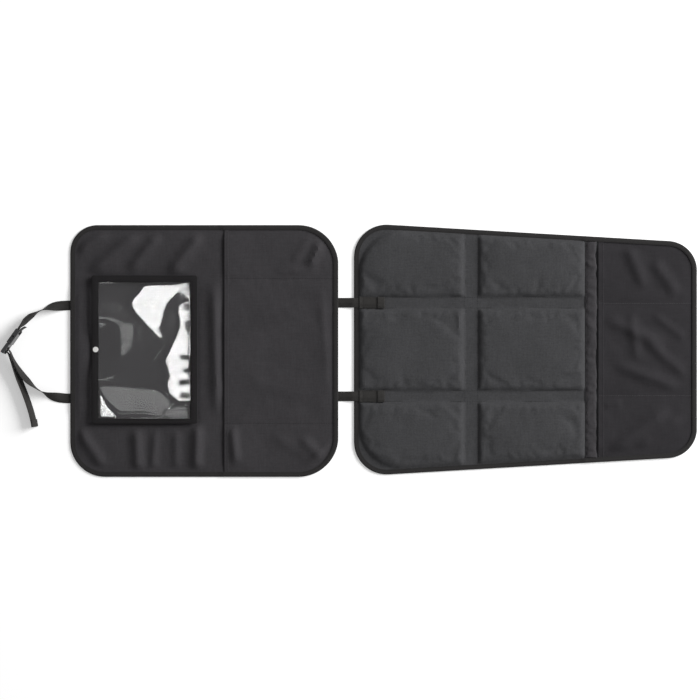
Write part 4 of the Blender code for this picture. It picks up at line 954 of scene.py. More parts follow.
class PROTECTOR_OT_back_panel(bpy.types.Operator):
    """Makes the back panel's cloth, its lower pocket, its bound edge and their seams"""

    bl_idname = "protector.back_panel"
    bl_label = "Back panel"

    def execute(self, context):
        cloth = finishes()["back cloth"]
        bm = sheet_mesh(BACK, BACK.columns(0.0042), 116, back_height)
        panel = new_piece("back_cloth", bm, cloth, ["back_panel"])
        hem_end = LOW_MOUTH_X + LOW_HEM
        thickness = hemmed(hem_end)
        columns = sorted({*BACK.columns(0.0036, LOW_MOUTH_X), hem_end, hem_end + HEM_STEP})
        bm = sheet_mesh(BACK, columns, 128, low_pocket_height, thickness)
        pocket = new_piece("lower_pocket_cloth", bm, cloth, ["lower_pocket"])
        bound_edge("back_bound_edge", BACK, strap_lift, back_leg, ["back_binding"], 31.0)
        sewn_rows("back_panel_stitches", [tape_run(BACK, back_leg)])

        def on_pocket(x, y):
            return low_pocket_height(x, y) + thickness(x, y) + THREAD_LIFT

        hem = (hem_end - 0.0010, hem_end - 0.0010)
        reach = (BACK_CENTRE_Y - LOW_HEM_REACH, BACK_CENTRE_Y + LOW_HEM_REACH)
        runs = [straight_run(hem, reach, 90, on_pocket)]
        start = LOW_MOUTH_X + SEAM_START
        for y in (BACK_CENTRE_Y - LOW_SEAM_Y, BACK_CENTRE_Y + LOW_SEAM_Y):
            runs.append(straight_run((start, start + LOW_SEAM_LENGTH), (y, y), 60, on_pocket))
        sewn_rows("lower_pocket_stitches", runs, length=0.0029, width=0.0008)
        return {"FINISHED"}


class PROTECTOR_OT_padded_panel(bpy.types.Operator):
    """Makes the padded panel's cover, backing, front pocket, mouth strip, bound edge and seams"""

    bl_idname = "protector.padded_panel"
    bl_label = "Padded panel"

    def execute(self, context):
        swelling = Swelling()
        bm = sheet_mesh(SEAT, SEAT.columns(0.0038), 128, lambda x, y: cover_height(x, y, swelling))
        cover = new_piece("padded_cover", bm, finishes()["pad cloth"], ["seat_cover"])
        bm = sheet_mesh(SEAT, SEAT.columns(0.012), 40, lambda x, y: FOLD)
        cloth = finishes()["backing cloth"]
        backing = new_piece("backing_sheet", bm, cloth, ["seat_backing"])
        hem_end = FRONT_MOUTH_X + FRONT_HEM
        thickness = hemmed(hem_end)
        columns = sorted({*SEAT.columns(0.0034, FRONT_MOUTH_X), hem_end, hem_end + HEM_STEP})
        bm = sheet_mesh(SEAT, columns, 122, front_pocket_height, thickness)
        cloth = finishes()["pocket cloth"]
        pocket = new_piece("front_pocket_cloth", bm, cloth, ["front_pocket"])
        self.mouth_strip()
        bound_edge("padded_bound_edge", SEAT, lambda x, y: 0.0, seat_leg, ["seat_binding"], 41.0)
        self.seams(thickness, hem_end)
        for row in ("rear", "front"):
            for side in ("left", "middle", "right"):
                dress_node(f"foam_pad_{row}_{side}", finishes()["pad foam"])
        return {"FINISHED"}

    def mouth_strip(self):
        """A folded, puckered strip whose round fold faces the pocket's mouth."""
        low, high = SEAT.limits(STRIP_START + STRIP_WIDTH)
        low, high = low + 0.0088, high - 0.0088
        base = COVER_TOP + GAP
        lip = CLOTH / STRIP_WIDTH
        sections = []
        for y in spaced(low, high, 190):
            top = STRIP_RISE + 0.0022 * grain(STRIP_START, y, 0.012, 0.014, 3.0)
            width = STRIP_WIDTH - 0.0012 + 0.0034 * grain(STRIP_START, y, 0.02, 0.034, 6.0)
            width += 0.0018 * grain(STRIP_START, y, 0.02, 0.011, 71.0)
            tuck = 0.0016 * (0.6 + grain(STRIP_START, y, 0.01, 0.0090, 8.0))
            shape = [(0.0, STRIP_CLOSED), (0.06, STRIP_CLOSED - 0.0001), (0.14, STRIP_CLOSED + tuck)]
            shape += [(0.30, 0.62 * top + tuck), (0.48, 0.88 * top + tuck * 0.5), (0.66, top)]
            shape += [(0.82, 0.97 * top), (0.93, 0.80 * top), (0.985, 0.52 * top), (1.0, 0.30 * top)]
            shape += [(0.985, 0.10 * top), (0.94, 0.0), (0.0, 0.0), (0.0, CLOTH), (0.90 - lip, CLOTH)]
            shape += [(0.97 - lip, 0.30 * top), (0.90 - lip, 0.74 * top - CLOTH), (0.66, top - CLOTH)]
            shape += [(0.30, 0.62 * top - CLOTH + tuck), (0.0, STRIP_CLOSED - CLOTH)]
            shape = [(a, z + self.crumple(a, y) if z > 0.55 * top else z) for a, z in shape]
            sections.append([(STRIP_START + a * width, y, base + z) for a, z in shape])
        bm = swept_mesh(sections, closed=False)
        strip = new_piece("mouth_strip_cloth", bm, finishes()["back cloth"], ["mouth_strip"])
        high - low

    def crumple(self, share, y):
        """How much higher the strip's cloth lies at a share of its width."""
        return 0.0016 * grain(share * STRIP_WIDTH, y, 0.0080, 0.0100, 81.0) * bump(share - 0.55, 0.45)

    def seams(self, thickness, hem_end):
        """Stitches round the panel, in the channels and on the pocket."""

        def on_cover(x, y):
            return cover_height(x, y) + CLOTH + THREAD_LIFT

        def on_pocket(x, y):
            return front_pocket_height(x, y) + thickness(x, y) + THREAD_LIFT

        runs = [tape_run(SEAT, seat_leg)]
        light = []
        beside = PAD_CHANNEL_X / 2 - CHANNEL_SEAM
        reach = (SEAT_CENTRE_Y - CHANNEL_REACH, SEAT_CENTRE_Y + CHANNEL_REACH)
        for x in (PAD_SPLIT_X - beside, PAD_SPLIT_X + beside):
            runs.append(straight_run((x, x), reach, 90, on_cover))
        beside = PAD_CHANNEL_Y / 2 - CHANNEL_SEAM
        start = FRONT_MOUTH_X + SEAM_START
        for side in (-1, 1):
            for edge in (-1, 1):
                y = SEAT_CENTRE_Y + side * PAD_SPLIT_Y + edge * beside
                runs.append(straight_run((SEAT_X + 0.0105, PADS_END - 0.0005), (y, y), 110, on_cover))
            y = SEAT_CENTRE_Y + side * FRONT_SEAM_Y
            light.append(straight_run((start, start + FRONT_SEAM_LENGTH), (y, y), 60, on_pocket))
        low, high = SEAT.limits(hem_end)
        reach = (low + 0.010, high - 0.010)
        runs.append(straight_run((hem_end - 0.0014, hem_end - 0.0014), reach, 80, on_pocket))
        rise = COVER_TOP + GAP + STRIP_CLOSED + 0.0001
        runs.append(straight_run((STRIP_START + 0.0014, STRIP_START + 0.0014), reach, 80, lambda x, y: rise))
        sewn_rows("padded_panel_stitches", runs, width=0.0006)
        sewn_rows("front_pocket_stitches", light, width=0.0006, thread="pocket thread")


def dress_node(name, finish):
    """Gives a solid that stays in view its finish."""
    node = bpy.data.objects[name]
    for slot in node.material_slots:
        slot.material = finish
    if not node.material_slots:
        raise RuntimeError(f"{name} has no material slot")


FILM_FACETS = (
    ((0.127, -0.399, -0.331), (0.116, -0.404, -0.331), (0.108, -0.410, -0.340), (0.097, -0.422, -0.351),
     (0.085, -0.423, -0.359), (0.074, -0.418, -0.363), (0.052, -0.398, -0.367), (0.041, -0.387, -0.374),
     (0.029, -0.374, -0.366)),
    ((0.094, -0.316, -0.309), (0.086, -0.331, -0.309), (0.074, -0.333, -0.309), (0.056, -0.328, -0.309),
     (0.036, -0.331, -0.309), (0.012, -0.342, -0.309), (-0.020, -0.358, -0.309), (-0.049, -0.350, -0.309),
     (-0.067, -0.354, -0.309), (-0.085, -0.349, -0.309), (-0.105, -0.327, -0.309), (-0.112, -0.316, -0.309)),
    ((-0.080, -0.492, -0.484), (-0.100, -0.492, -0.477), (-0.115, -0.492, -0.468), (-0.128, -0.492, -0.456),
     (-0.140, -0.492, -0.448)),
)
# Bands that fall towards -Y, as (x, high edge, low edge)
FILM_BANDS = (
    ((-0.487, -0.069, -0.075), (-0.471, -0.071, -0.100), (-0.446, -0.072, -0.119), (-0.420, -0.074, -0.119),
     (-0.402, -0.076, -0.118), (-0.384, -0.078, -0.122), (-0.366, -0.082, -0.128), (-0.352, -0.091, -0.112),
     (-0.347, -0.098, -0.101)),
    ((-0.363, -0.128, -0.136), (-0.348, -0.116, -0.136), (-0.330, -0.109, -0.136), (-0.312, -0.106, -0.136)),
)
FACET_SHARES = (1.0, 1.0, 1.35)
FILM_DIMPLES = (
    (-0.3155, 0.0464, 0.0034, 0.0085), (-0.3231, -0.0148, 0.0060, 0.0034), (-0.3188, -0.0394, 0.0032, 0.0032),
    (-0.3241, -0.0628, 0.0064, 0.0036), (-0.3210, -0.0878, 0.0068, 0.0040), (-0.3177, 0.0825, 0.0040, 0.0034),
)


def between_rows(rows, y):
    """The two ends of a facet at y, from its rows, or None outside them."""
    for (y0, a0, b0), (y1, a1, b1) in zip(rows, rows[1:]):
        if y1 <= y <= y0:
            t = (y0 - y) / (y0 - y1)
            return a0 + (a1 - a0) * t, b0 + (b1 - b0) * t
    return None


def facet_height(x, y, rows, slope):
    """A crease in the film: a quick rise to the facet's left end and an even fall across it."""
    reach = 0.010
    top, foot = rows[0][0], rows[-1][0]
    ends = between_rows(rows, min(top, max(foot, y)))
    fade = ramp(y, foot - reach, foot + 0.002) * (1 - ramp(y, top - 0.002, top + reach))
    if ends is None or fade == 0:
        return 0.0
    start, end = ends
    high = slope * (end - start)
    if x < start:
        return high * fade * ramp(x, start - min(0.022, 0.35 * (end - start) + 0.006), start)
    return max(0.0, slope * (end - x)) * fade


def band_height(x, y, rows, slope):
    """A crease in the film that falls evenly towards -Y, with quick rises at its other edges."""
    first, last = rows[0][0], rows[-1][0]
    for (x0, high0, low0), (x1, high1, low1) in zip(rows, rows[1:]):
        if x0 <= min(last, max(first, x)) <= x1:
            t = (min(last, max(first, x)) - x0) / (x1 - x0)
            high, low = high0 + (high1 - high0) * t, low0 + (low1 - low0) * t
    foot = min(row[2] for row in rows)
    fade = ramp(x, first - 0.008, first + 0.003) * (1 - ramp(x, last - 0.003, last + 0.008))
    fade *= (1 - ramp(y, high, high + 0.010)) * ramp(y, low - 0.007, low)
    return slope * max(0.0, min(y, high) - foot) * fade


def film_height(x, y):
    """The underside of the clear film: crowned, creased and slightly uneven."""
    slope = math.tan(bpy.context.scene.protector_tablet.film_tilt)
    inside = min(x - WINDOW_X, WINDOW_END - x, y - WINDOW_LOW, WINDOW_HIGH - y)
    height = sum(facet_height(x, y, rows, slope * share) for rows, share in zip(FILM_FACETS, FACET_SHARES))
    height += sum(band_height(x, y, rows, slope) for rows in FILM_BANDS)
    for dx, dy, rx, ry in FILM_DIMPLES:
        height += 0.00060 * math.exp(-(((x - dx) / rx) ** 2) - ((y - dy) / ry) ** 2)
    height += 0.00022 * grain(x, y, 0.045, 0.060, 51.0) + 0.00005 * grain(x, y, 0.017, 0.021, 57.0)
    return tablet_underside(x, y) - GAP + max(-0.0002, height) * ramp(inside, -0.001, 0.004)


class PROTECTOR_OT_tablet_pocket(bpy.types.Operator):
    """Makes the tablet pocket: its bound frame, clear film and side walls"""

    bl_idname = "protector.tablet_pocket"
    bl_label = "Tablet pocket"

    # A frame bar's section, as shares of its width and of its thickness
    BAR_SHAPE = (
        (0.0, 0.0), (0.0, 0.45), (0.05, 0.86), (0.14, 1.0), (0.24, 0.93), (0.36, 1.10), (0.52, 1.18),
        (0.68, 1.10), (0.80, 0.93), (0.90, 1.0), (0.97, 0.86), (1.0, 0.45), (1.0, 0.0), (0.5, 0.0),
    )

    def execute(self, context):
        self.film()
        self.frame()
        self.walls()
        for node in ("snap_cap", "snap_socket", "snap_stud", "snap_post"):
            dress_node(node, finishes()["stud plating"])
        return {"FINISHED"}

    def film(self):
        """The clear film, lapped under the frame and cut out round the press stud."""
        lap = 0.0050
        x0, x1 = WINDOW_X - lap, WINDOW_END + lap
        y0, y1 = WINDOW_LOW - lap, WINDOW_HIGH + lap
        across, up = 168, 246
        stud_x = TABLET_X + BARS["mouth"] * 0.57
        bm = bmesh.new()

        def place(i, j):
            x, y = x0 + (x1 - x0) * i / across, y0 + (y1 - y0) * j / up
            return Vector((x, y, film_height(x, y))), (x, y)

        laid_grid(bm, across, up, place)
        middles = [(face, face.calc_center_median()) for face in bm.faces]
        hole = [face for face, m in middles if math.hypot(m.x - stud_x, m.y - TABLET_Y) < STUD_FLAT]
        bmesh.ops.delete(bm, geom=hole, context="FACES")
        thicken(bm, lambda x, y: FILM)
        film = new_piece("tablet_film", bm, finishes()["window film"], ["tablet_window"])

    def frame(self):
        """A padded-looking bar on each side, mitred at the corners, with two rows of stitches."""
        corner = 0.0045
        walk = []
        spots = ((TABLET_X, -1, -1), (TABLET_END, 1, -1), (TABLET_END, 1, 1), (TABLET_X, -1, 1))
        for k, (x, side, end) in enumerate(spots):
            centre = (x - side * corner, TABLET_Y + end * (TABLET_HALF - corner))
            first = math.pi + math.pi / 2 * k
            for angle in spaced(first, first + math.pi / 2, 6):
                walk.append((centre[0] + corner * math.cos(angle), centre[1] + corner * math.sin(angle)))
        rim = []
        for a, b in zip(walk, walk[1:] + walk[:1]):
            span = math.hypot(b[0] - a[0], b[1] - a[1])
            count = max(1, round(span / 0.0030))
            rim += list(zip(spaced(a[0], b[0], count), spaced(a[1], b[1], count)))[:-1]
        sections = []
        for x, y in rim:
            u = (x - TABLET_X) / (TABLET_END - TABLET_X)
            v = (y - TABLET_Y + TABLET_HALF) / (2 * TABLET_HALF)
            ix = WINDOW_X + (WINDOW_END - WINDOW_X) * self.spread(u)
            iy = WINDOW_LOW + (WINDOW_HIGH - WINDOW_LOW) * self.spread(v)
            puff = 0.00035 * grain(x, y, 0.012, seed=61.0)
            section = []
            for t, h in self.BAR_SHAPE:
                px, py = x + (ix - x) * t, y + (iy - y) * t
                z = tablet_underside(px, py) + FRAME_THICK * h + (puff if 0.1 < t < 0.9 and h > 0.5 else 0.0)
                section.append((px, py, z))
            sections.append(section)
        bm = swept_mesh(sections, closed=True)
        cloth = finishes()["frame cloth"]
        piece = new_piece("tablet_frame_cloth", bm, cloth, ["tablet_frame"], angle=60)
        runs = []
        for t in (0.20, 0.82):
            spots = []
            for section in sections + sections[:1]:
                x, y, _ = Vector(section[0]).lerp(Vector(section[-2]), t)
                spots.append((x, y, tablet_underside(x, y) + FRAME_THICK * 0.93 + 0.0001))
            runs.append(spots)
        sewn_rows("tablet_frame_stitches", runs)

    def spread(self, share):
        """Where along the window's side a rim point's inner point lies: held at the corners."""
        return min(1.0, max(0.0, (share - 0.060) / 0.880))

    def walls(self):
        """A low wall on three sides with a foot sewn along the panel; the head end is open."""
        inset, foot, thick, corner = 0.0025, 0.0060, 0.0008, 0.0040
        low, high = FOLD + CLOTH + GAP, FRAME_UNDER - GAP
        x0, x1 = TABLET_X + inset, TABLET_END - inset
        half = TABLET_HALF - inset
        walk = [(x, -half, 0.0, -1.0) for x in spaced(x0, x1 - corner, 60)]
        for angle in spaced(-math.pi / 2, 0.0, 6)[1:]:
            x, y = x1 - corner + corner * math.cos(angle), corner - half + corner * math.sin(angle)
            walk.append((x, y, math.cos(angle), math.sin(angle)))
        turned = [(x, -y, out_x, -out_y) for x, y, out_x, out_y in reversed(walk)]
        walk += [(x1, y, 1.0, 0.0) for y in spaced(corner - half, half - corner, 80)[1:-1]] + turned
        sections = []
        for x, y, out_x, out_y in walk:
            lean = 0.0007 * grain(x, y, 0.022, seed=71.0)
            spots = ((0.0, low), (foot, low), (foot, low + thick), (thick * 2.0, low + thick))
            spots += ((thick, low + thick * 2.0), (thick + lean * 0.7, (low + high) / 2), (thick, high))
            spots += ((0.0, high), (lean * 0.7, (low + high) / 2))
            sections.append([(x - out_x * d, TABLET_Y + y - out_y * d, z) for d, z in spots])
        bm = swept_mesh(sections, closed=False)
        cloth = finishes()["frame cloth"]
        wall = new_piece("tablet_pocket_walls", bm, cloth, ["tablet_gusset"])


# The webbing's runs, as the solids have them but divided more finely
LOOP_REACH = 0.1326
HEAD_CENTRE_Y = -0.0042
BUCKLE_ANGLE = math.radians(54.4)
BUCKLE_LEAN = math.radians(7.0)
STRAP_LEAN = math.radians(31.0)
BAR_THICK = 0.0035
BAR_LENGTH = 0.0032
SLOT_LENGTH = 0.0046
BUCKLE_THICK = 0.0095
SOCKET_LENGTH = 0.0330
BUCKLE_LENGTH = SOCKET_LENGTH + 0.0220
PLUG_THICK = 0.0070
BUCKLE_WIDTH = STRAP_WIDTH + 2 * 0.0008 + 2 * 0.0032
BUCKLE_ALONG = Vector((-math.cos(BUCKLE_ANGLE), -math.sin(BUCKLE_ANGLE), 0))
BUCKLE_SIDE = UP.cross(BUCKLE_ALONG)
BUCKLE_ACROSS = UP * math.cos(BUCKLE_LEAN) - BUCKLE_SIDE * math.sin(BUCKLE_LEAN)
BUCKLE_FACE = BUCKLE_ACROSS.cross(BUCKLE_ALONG)
BUCKLE_START = Vector((
    BACK_X - LOOP_REACH + BUCKLE_LENGTH * math.cos(BUCKLE_ANGLE) + PLUG_THICK / 2 * math.sin(BUCKLE_ANGLE),
    0.0386,
    BUCKLE_WIDTH / 2 * math.cos(BUCKLE_LEAN) + BUCKLE_THICK / 2 * math.sin(BUCKLE_LEAN),
))
WRAP = BAR_THICK / 2 + GAP + WEBBING / 2
MIDDLE_BAR = BUCKLE_LENGTH - 2 * BAR_LENGTH - SLOT_LENGTH


def bezier(first, second, third, fourth, t):
    """The point at a share t of a cubic Bezier curve."""
    s = 1 - t
    return first * s**3 + second * 3 * s * s * t + third * 3 * s * t * t + fourth * t**3


def in_buckle(x, y):
    """The place x along the buckle from its socket's bar and y off its middle plane."""
    return BUCKLE_START + BUCKLE_ALONG * x + BUCKLE_FACE * y


def rolled(along, roll):
    """A strap's width direction: level at a roll of 0 and upright at 90 degrees."""
    return UP.cross(along).normalized() * math.cos(roll) + UP * math.sin(roll)


def resting_height(across):
    """How high a strap's centre lies where its lower edge or face rests on the ground."""
    upright = abs(across.z)
    return STRAP_WIDTH / 2 * upright + WEBBING / 2 * math.sqrt(max(0.0, 1 - upright**2))


def stepped(value, stops):
    """Goes smoothly from one stop (place, amount) to the next."""
    for (here, low), (there, high) in zip(stops, stops[1:]):
        if value <= there:
            return low + (high - low) * ramp(value, here, there)
    return stops[-1][1]


def strap_run(points, rolls, end_across, end_height, steps, settle=0.62):
    """A strap's free run: a curve in plan, rolled as it goes and ending at a buckle bar."""
    points = [Vector((point.x, point.y, 0)) for point in points]
    path = []
    for t in spaced(0.0, 1.0, steps)[:-1]:
        centre = bezier(*points, t)
        along = (bezier(*points, t + 0.001) - centre).normalized()
        join = ramp(t, settle, 1.0)
        across = rolled(along, stepped(t, rolls)).lerp(end_across, join).normalized()
        centre.z = resting_height(across) * (1 - join) + end_height * join
        path.append((centre, across, None))
    return path


def head_root(y):
    """The strap's end under the back panel, from its sewn end out past the binding."""
    under = FOLD + WEBBING / 2
    ends = (HEAD_ROOT, BINDING_WIDTH + STEP_RUN, BINDING_WIDTH + EDGE_ROOM, -0.0020)
    heights = (under, under, WEBBING / 2, WEBBING / 2)
    return [(Vector((BACK_X + x, y, z)), Vector((0, -1, 0)), None) for x, z in zip(ends, heights)]


def turn_round(x, y, radius, start, across, steps=16):
    """Half a turn round a buckle bar at (x, y) in the buckle, starting at an angle."""
    found = []
    for angle in spaced(start, start + math.pi, steps):
        along = BUCKLE_FACE * math.cos(angle) - BUCKLE_ALONG * math.sin(angle)
        found.append((in_buckle(x + radius * math.cos(angle), y + radius * math.sin(angle)), across, along))
    return found


def fold_back(path, side, length):
    """Turns the last run of a path back on itself, on the given side of its face."""
    centre, across, _ = path[-1]
    along = (centre - path[-2][0]).normalized()
    face = along.cross(across).normalized() * side
    radius = WEBBING / 2 + GAP
    middle = centre + face * radius
    path.pop()
    for angle in spaced(0.0, math.pi, 10):
        point = middle + along * radius * math.sin(angle) - face * radius * math.cos(angle)
        path.append((point, across, along * math.cos(angle) + face * math.sin(angle)))
    path.append((path[-1][0] - along * length, across, None))


def straight_path(points, y):
    """The path of a strap that runs along x through points of (x, z)."""
    return [(Vector((x, y, z)), Vector((0, 1, 0)), None) for x, z in points]


def flat_strap(name, path, nodes, width=STRAP_WIDTH):
    """Webbing along a path of (centre, direction of its width, direction of travel or None)."""
    half, rise = width / 2, WEBBING / 2
    lip = 0.00035
    around = ((-half + lip, -rise), (half - lip, -rise), (half, -rise + lip), (half, rise - lip))
    around += ((half - lip, rise), (-half + lip, rise), (-half, rise - lip), (-half, -rise + lip))
    sections = []
    last = len(path) - 1
    for k, (centre, across, along) in enumerate(path):
        if along is None:
            along = (path[min(k + 1, last)][0] - path[max(k - 1, 0)][0]).normalized()
        across = (across - along * across.dot(along)).normalized()
        face = along.cross(across)
        sections.append([centre + across * a + face * r for a, r in around])
    spread = [lip, width - lip, width, width, width - lip, lip, 0.0, 0.0, lip]
    bm = swept_mesh(sections, closed=False, lengths=spread)
    return new_piece(name, bm, finishes()["strap webbing"], nodes, angle=50)


def finer(path, step):
    """A path with points added on its straight runs, so that webbing can carry detail."""
    found = [path[0]]
    for here, there in zip(path, path[1:]):
        span = (there[0] - here[0]).length
        count = max(1, round(span / step))
        for k in range(1, count + 1):
            t = k / count
            point = here[0].lerp(there[0], t)
            across = here[1].lerp(there[1], t).normalized()
            found.append((point, across, there[2] if k == count else None))
    return found


class PROTECTOR_OT_link_straps(bpy.types.Operator):
    """Makes the two straps between the panels, and the tabs sewn over their ends"""

    bl_idname = "protector.link_straps"
    bl_label = "Link straps"

    def execute(self, context):
        under = FOLD + WEBBING / 2
        over = seat_leg(SEAT_X, SEAT_CENTRE_Y) + TAPE + GAP + WEBBING / 2
        channel = COVER_TOP + GAP + WEBBING / 2
        drop_end = SEAT_X + BINDING_WIDTH + STEP_RUN
        runs = []
        for name, side in (("left", 1), ("right", -1)):
            y = SEAT_CENTRE_Y + side * PAD_SPLIT_Y
            points = [(BACK_END - LINK_ROOT, under), (BACK_END - BINDING_WIDTH - STEP_RUN, under)]
            points += [(BACK_END - BINDING_WIDTH - EDGE_ROOM, WEBBING / 2), (BACK_END + 0.0030, WEBBING / 2)]
            points += [((BACK_END + SEAT_X) / 2, WEBBING / 2 + 0.35 * (over - WEBBING / 2))]
            points += [(SEAT_X - 0.0020, over), (SEAT_X + BINDING_WIDTH, over)]
            points += [(drop_end, channel), (TAB_START_X + LINK_LAP, channel)]
            path = finer(straight_path(points, y), 0.003)
            flat_strap(f"link_strap_webbing_{name}", path, [f"link_strap_{name}"])
            step = WEBBING + GAP
            top = channel + WEBBING + 2 * GAP
            points = [(TAB_START_X, over + step), (drop_end, top), (TAB_START_X + TAB_LENGTH - step, top)]
            path = finer(straight_path(points, y), 0.003)
            fold_back(path, 1, TAB_FOLD - step)
            flat_strap(f"link_tab_webbing_{name}", path, [f"link_tab_{name}"], PAD_CHANNEL_Y - 2 * GAP)
            high = top + WEBBING / 2 + 0.0001
            beside = PAD_CHANNEL_Y / 2 - 0.0022
            for row in (y - beside, y + beside):
                runs.append([(x, row, high) for x in spaced(SEAT_X + 0.0185, SEAT_X + 0.0485, 20)])
            beside = PAD_CHANNEL_Y * 0.40
            for x in (SEAT_X + 0.0190, SEAT_X + 0.0455):
                runs.append([(x, row, high) for row in spaced(y - beside, y + beside, 12)])
        sewn_rows("link_tab_stitches", runs, pitch=0.0028, length=0.0021)
        return {"FINISHED"}


class PROTECTOR_OT_head_loop(bpy.types.Operator):
    """Makes the head loop's two straps and finishes its side-release buckle"""

    bl_idname = "protector.head_loop"
    bl_label = "Head loop"

    def execute(self, context):
        self.upper()
        self.lower()
        for node in ("buckle_socket", "buckle_plug"):
            dress_node(node, finishes()["buckle plastic"])
        return {"FINISHED"}

    def upper(self):
        """Sewn under the panel, round the socket's bar, and stitched back on itself."""
        path = head_root(HEAD_CENTRE_Y + HEAD_PITCH / 2)
        first = path[-1][0]
        last = in_buckle(-0.0045, -WRAP)
        points = [first, first - Vector((0.050, 0, 0)), last - BUCKLE_ALONG * 0.030, last]
        edge = math.pi / 2
        rolls = ((0.0, 0.0), (0.05, 0.0), (0.47, edge), (0.70, edge + STRAP_LEAN), (1.0, edge + STRAP_LEAN))
        path += strap_run(points, rolls, BUCKLE_ACROSS, last.z, 72, 0.80)[1:]
        path.append((last, BUCKLE_ACROSS, BUCKLE_ALONG))
        path += turn_round(BAR_LENGTH - GAP, 0.0, WRAP, -math.pi / 2, BUCKLE_ACROSS)
        for share in (0.25, 0.45, 0.6, 0.8, 1.0):
            path.append((in_buckle(-0.0120 * share, WRAP + 0.0042 * share**2), BUCKLE_ACROSS, None))
        flat_strap("head_strap_webbing_upper", finer(path, 0.004), ["head_strap_upper"])

    def lower(self):
        """Sewn under the panel, threaded round the plug's middle bar, and left as a free tail."""
        path = head_root(HEAD_CENTRE_Y - HEAD_PITCH / 2)
        first = path[-1][0]
        away = Vector((0.34, -0.94, 0)).normalized()
        radius = BAR_LENGTH / 2 + GAP + WEBBING / 2
        middle = MIDDLE_BAR + BAR_LENGTH / 2
        bend = 0.0060
        entry = in_buckle(middle - radius, BAR_THICK / 2 + GAP)
        last = entry + BUCKLE_SIDE * bend + away * bend
        points = [first, first - Vector((0.057, 0, 0)), last + away * 0.052, last]
        edge = -math.pi / 2
        rolls = ((0.0, 0.0), (0.05, 0.0), (0.40, edge), (0.62, edge - STRAP_LEAN), (1.0, edge - STRAP_LEAN))
        path += strap_run(points, rolls, -BUCKLE_ACROSS, last.z, 80)[1:]
        pull, lift = away * bend * 0.6, BUCKLE_FACE * bend * 0.6
        shares = spaced(0.0, 1.0, 8)
        down = (last, last - pull, entry + lift, entry)
        path += [(bezier(*down, share), -BUCKLE_ACROSS, None) for share in shares]
        path += turn_round(middle, -BAR_THICK * 0.25, radius, math.pi, -BUCKLE_ACROSS)
        leave = in_buckle(middle + radius, BAR_THICK / 2 + GAP)
        start = leave + BUCKLE_SIDE * bend + away * bend
        up = (leave, leave + lift, start - pull, start)
        path += [(bezier(*up, share), -BUCKLE_ACROSS, None) for share in shares[:-1]]
        end = Vector((BACK_X - 0.0692, -0.1488, 0))
        out = Vector((0.146, -0.989, 0)).normalized()
        ground = Vector((start.x, start.y, 0))
        curve = (ground, ground + away * 0.045, end - out * 0.045, end)
        for t in spaced(0.0, 1.0, 55):
            centre = bezier(*curve, t)
            along = (bezier(*curve, t + 0.001) - centre).normalized()
            lean = -rolled(along, math.pi / 2 + STRAP_LEAN)
            join = ramp(t, 0.0, 0.40)
            across = (-BUCKLE_ACROSS).lerp(lean, join).normalized()
            centre.z = start.z * (1 - join) + resting_height(across) * join
            path.append((centre, across, None))
        fold_back(path, 1, 0.0130)
        flat_strap("head_strap_webbing_lower", path, ["head_strap_lower"])


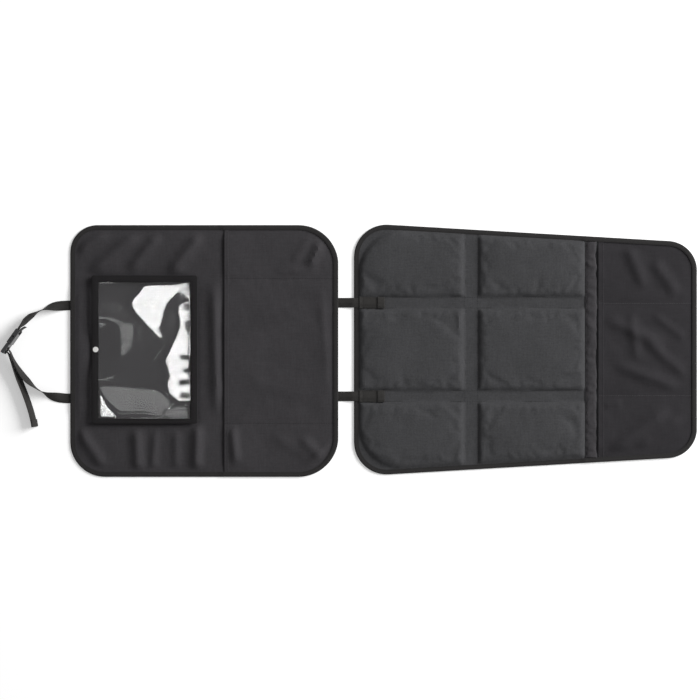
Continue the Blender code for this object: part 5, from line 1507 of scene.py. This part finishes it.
class PROTECTOR_OT_stage(bpy.types.Operator):
    """Lays the pale floor and sets the lamps, the even light and the camera over the protector"""

    bl_idname = "protector.stage"
    bl_label = "Stage"

    # Name, x, y, size and share of the key lamp's power of the lamps that only the film mirrors
    FILM_LAMPS = (
        ("film_lamp", -0.28, 0.0, (0.30, 0.46), 1.0),
        ("low_lamp", -0.60, -0.38, (0.34, 0.24), 0.078),
        ("dim_lamp", -0.66, 0.046, (0.120, 0.085), 0.0105),
    )
    FILM_LAMP_HEIGHT = 2.6

    def execute(self, context):
        self.floor()
        self.sky(context.scene)
        stage = context.scene.protector_stage
        self.lamp("side_lamp", (4.5, 1.9, 2.7), (0.0, 0.0, 0.0), (3.2, 3.2), stage.side_power)
        mirrored = bpy.data.collections.new("seen in the film lamps' light")
        mirrored.objects.link(bpy.data.objects["tablet_film"])
        for name, x, y, size, share in self.FILM_LAMPS:
            place = (x, y, self.FILM_LAMP_HEIGHT)
            lamp = self.lamp(name, place, (x, y, 0.0), size, stage.key_power * share)
            lamp.light_linking.receiver_collection = mirrored
        self.camera(context.scene, stage)
        context.scene.view_settings.view_transform = "Standard"
        return {"FINISHED"}

    def floor(self):
        bm = bmesh.new()
        bmesh.ops.create_grid(bm, x_segments=1, y_segments=1, size=6.0)
        bmesh.ops.translate(bm, verts=bm.verts[:], vec=(0, 0, -0.0004))
        mesh = mesh_of("floor", bm)
        floor = linked("floor", mesh)
        made = Finish("floor paint", Roughness=0.9, Specular_IOR_Level=0.0)
        made.feed("Base Color", made.tint((0.80, 0.80, 0.80), made.noise(made.place(), 3.0) * 0.01 + 0.995))
        shine = made.node("ShaderNodeEmission", None, {"Strength": made.seen_directly() * 0.34})
        both = made.node("ShaderNodeAddShader", None, {0: Value(made, made.shader.outputs[0]), 1: shine})
        made.tree.links.new(both.socket, made.tree.nodes["Material Output"].inputs["Surface"])
        mesh.materials.append(made.material)

    def sky(self, scene):
        """White where it is seen, and a weaker even light on everything."""
        scene.world = bpy.data.worlds.new("even light")
        scene.world.use_nodes = True
        sky = Nodes(scene.world.node_tree)
        background = sky.tree.nodes["Background"]
        ambient = scene.protector_stage.ambient
        strength = sky.seen_directly() * (1.0 - ambient) + ambient
        sky.tree.links.new(strength.socket, background.inputs["Strength"])
        background.inputs["Color"].default_value = (1.0, 1.0, 1.0, 1.0)

    def lamp(self, name, place, aim, size, power):
        data = bpy.data.lights.new(name, "AREA")
        data.shape = "RECTANGLE"
        data.size, data.size_y = size
        data.energy = power
        lamp = linked(name, data)
        way = Vector(aim) - Vector(place)
        lamp.matrix_world = Matrix.Translation(place) @ way.to_track_quat("-Z", "Y").to_matrix().to_4x4()
        lamp.visible_camera = False
        return lamp

    def camera(self, scene, stage):
        data = bpy.data.cameras.new("camera")
        data.sensor_width = 36.0
        data.lens = 36.0 * stage.camera_height / stage.view_width
        scene.camera = linked("camera", data)
        scene.camera.location = (0.0008, -0.0004, stage.camera_height)


class PROTECTOR_PT_panel(bpy.types.Panel):
    """Lists the protector's settings, and its pieces in the order in which they are made"""

    bl_idname = "PROTECTOR_PT_panel"
    bl_label = "Protector"
    bl_space_type = "VIEW_3D"
    bl_region_type = "UI"
    bl_category = "Protector"

    def draw(self, context):
        for name, kind in SETTINGS.items():
            for label in kind.__annotations__:
                self.layout.prop(getattr(context.scene, name), label)
        for operator in OPERATORS:
            self.layout.operator(operator.bl_idname)


SETTINGS = {
    "protector_cloth": ClothSettings,
    "protector_tablet": TabletSettings,
    "protector_buckle": BuckleSettings,
    "protector_stage": StageSettings,
}
OPERATORS = (
    PROTECTOR_OT_back_panel,
    PROTECTOR_OT_tablet_pocket,
    PROTECTOR_OT_padded_panel,
    PROTECTOR_OT_link_straps,
    PROTECTOR_OT_head_loop,
    PROTECTOR_OT_stage,
)


def register():
    for name, settings in SETTINGS.items():
        bpy.utils.register_class(settings)
        setattr(bpy.types.Scene, name, PointerProperty(type=settings))
    for operator in OPERATORS:
        bpy.utils.register_class(operator)
    bpy.utils.register_class(PROTECTOR_PT_panel)


def unregister():
    bpy.utils.unregister_class(PROTECTOR_PT_panel)
    for operator in reversed(OPERATORS):
        bpy.utils.unregister_class(operator)
    for name, settings in SETTINGS.items():
        delattr(bpy.types.Scene, name)
        bpy.utils.unregister_class(settings)


def main():
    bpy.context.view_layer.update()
    register()
    bpy.ops.protector.back_panel()
    bpy.ops.protector.tablet_pocket()
    bpy.ops.protector.padded_panel()
    bpy.ops.protector.link_straps()
    bpy.ops.protector.head_loop()
    bpy.ops.protector.stage()


if __name__ == "__main__":
    main()
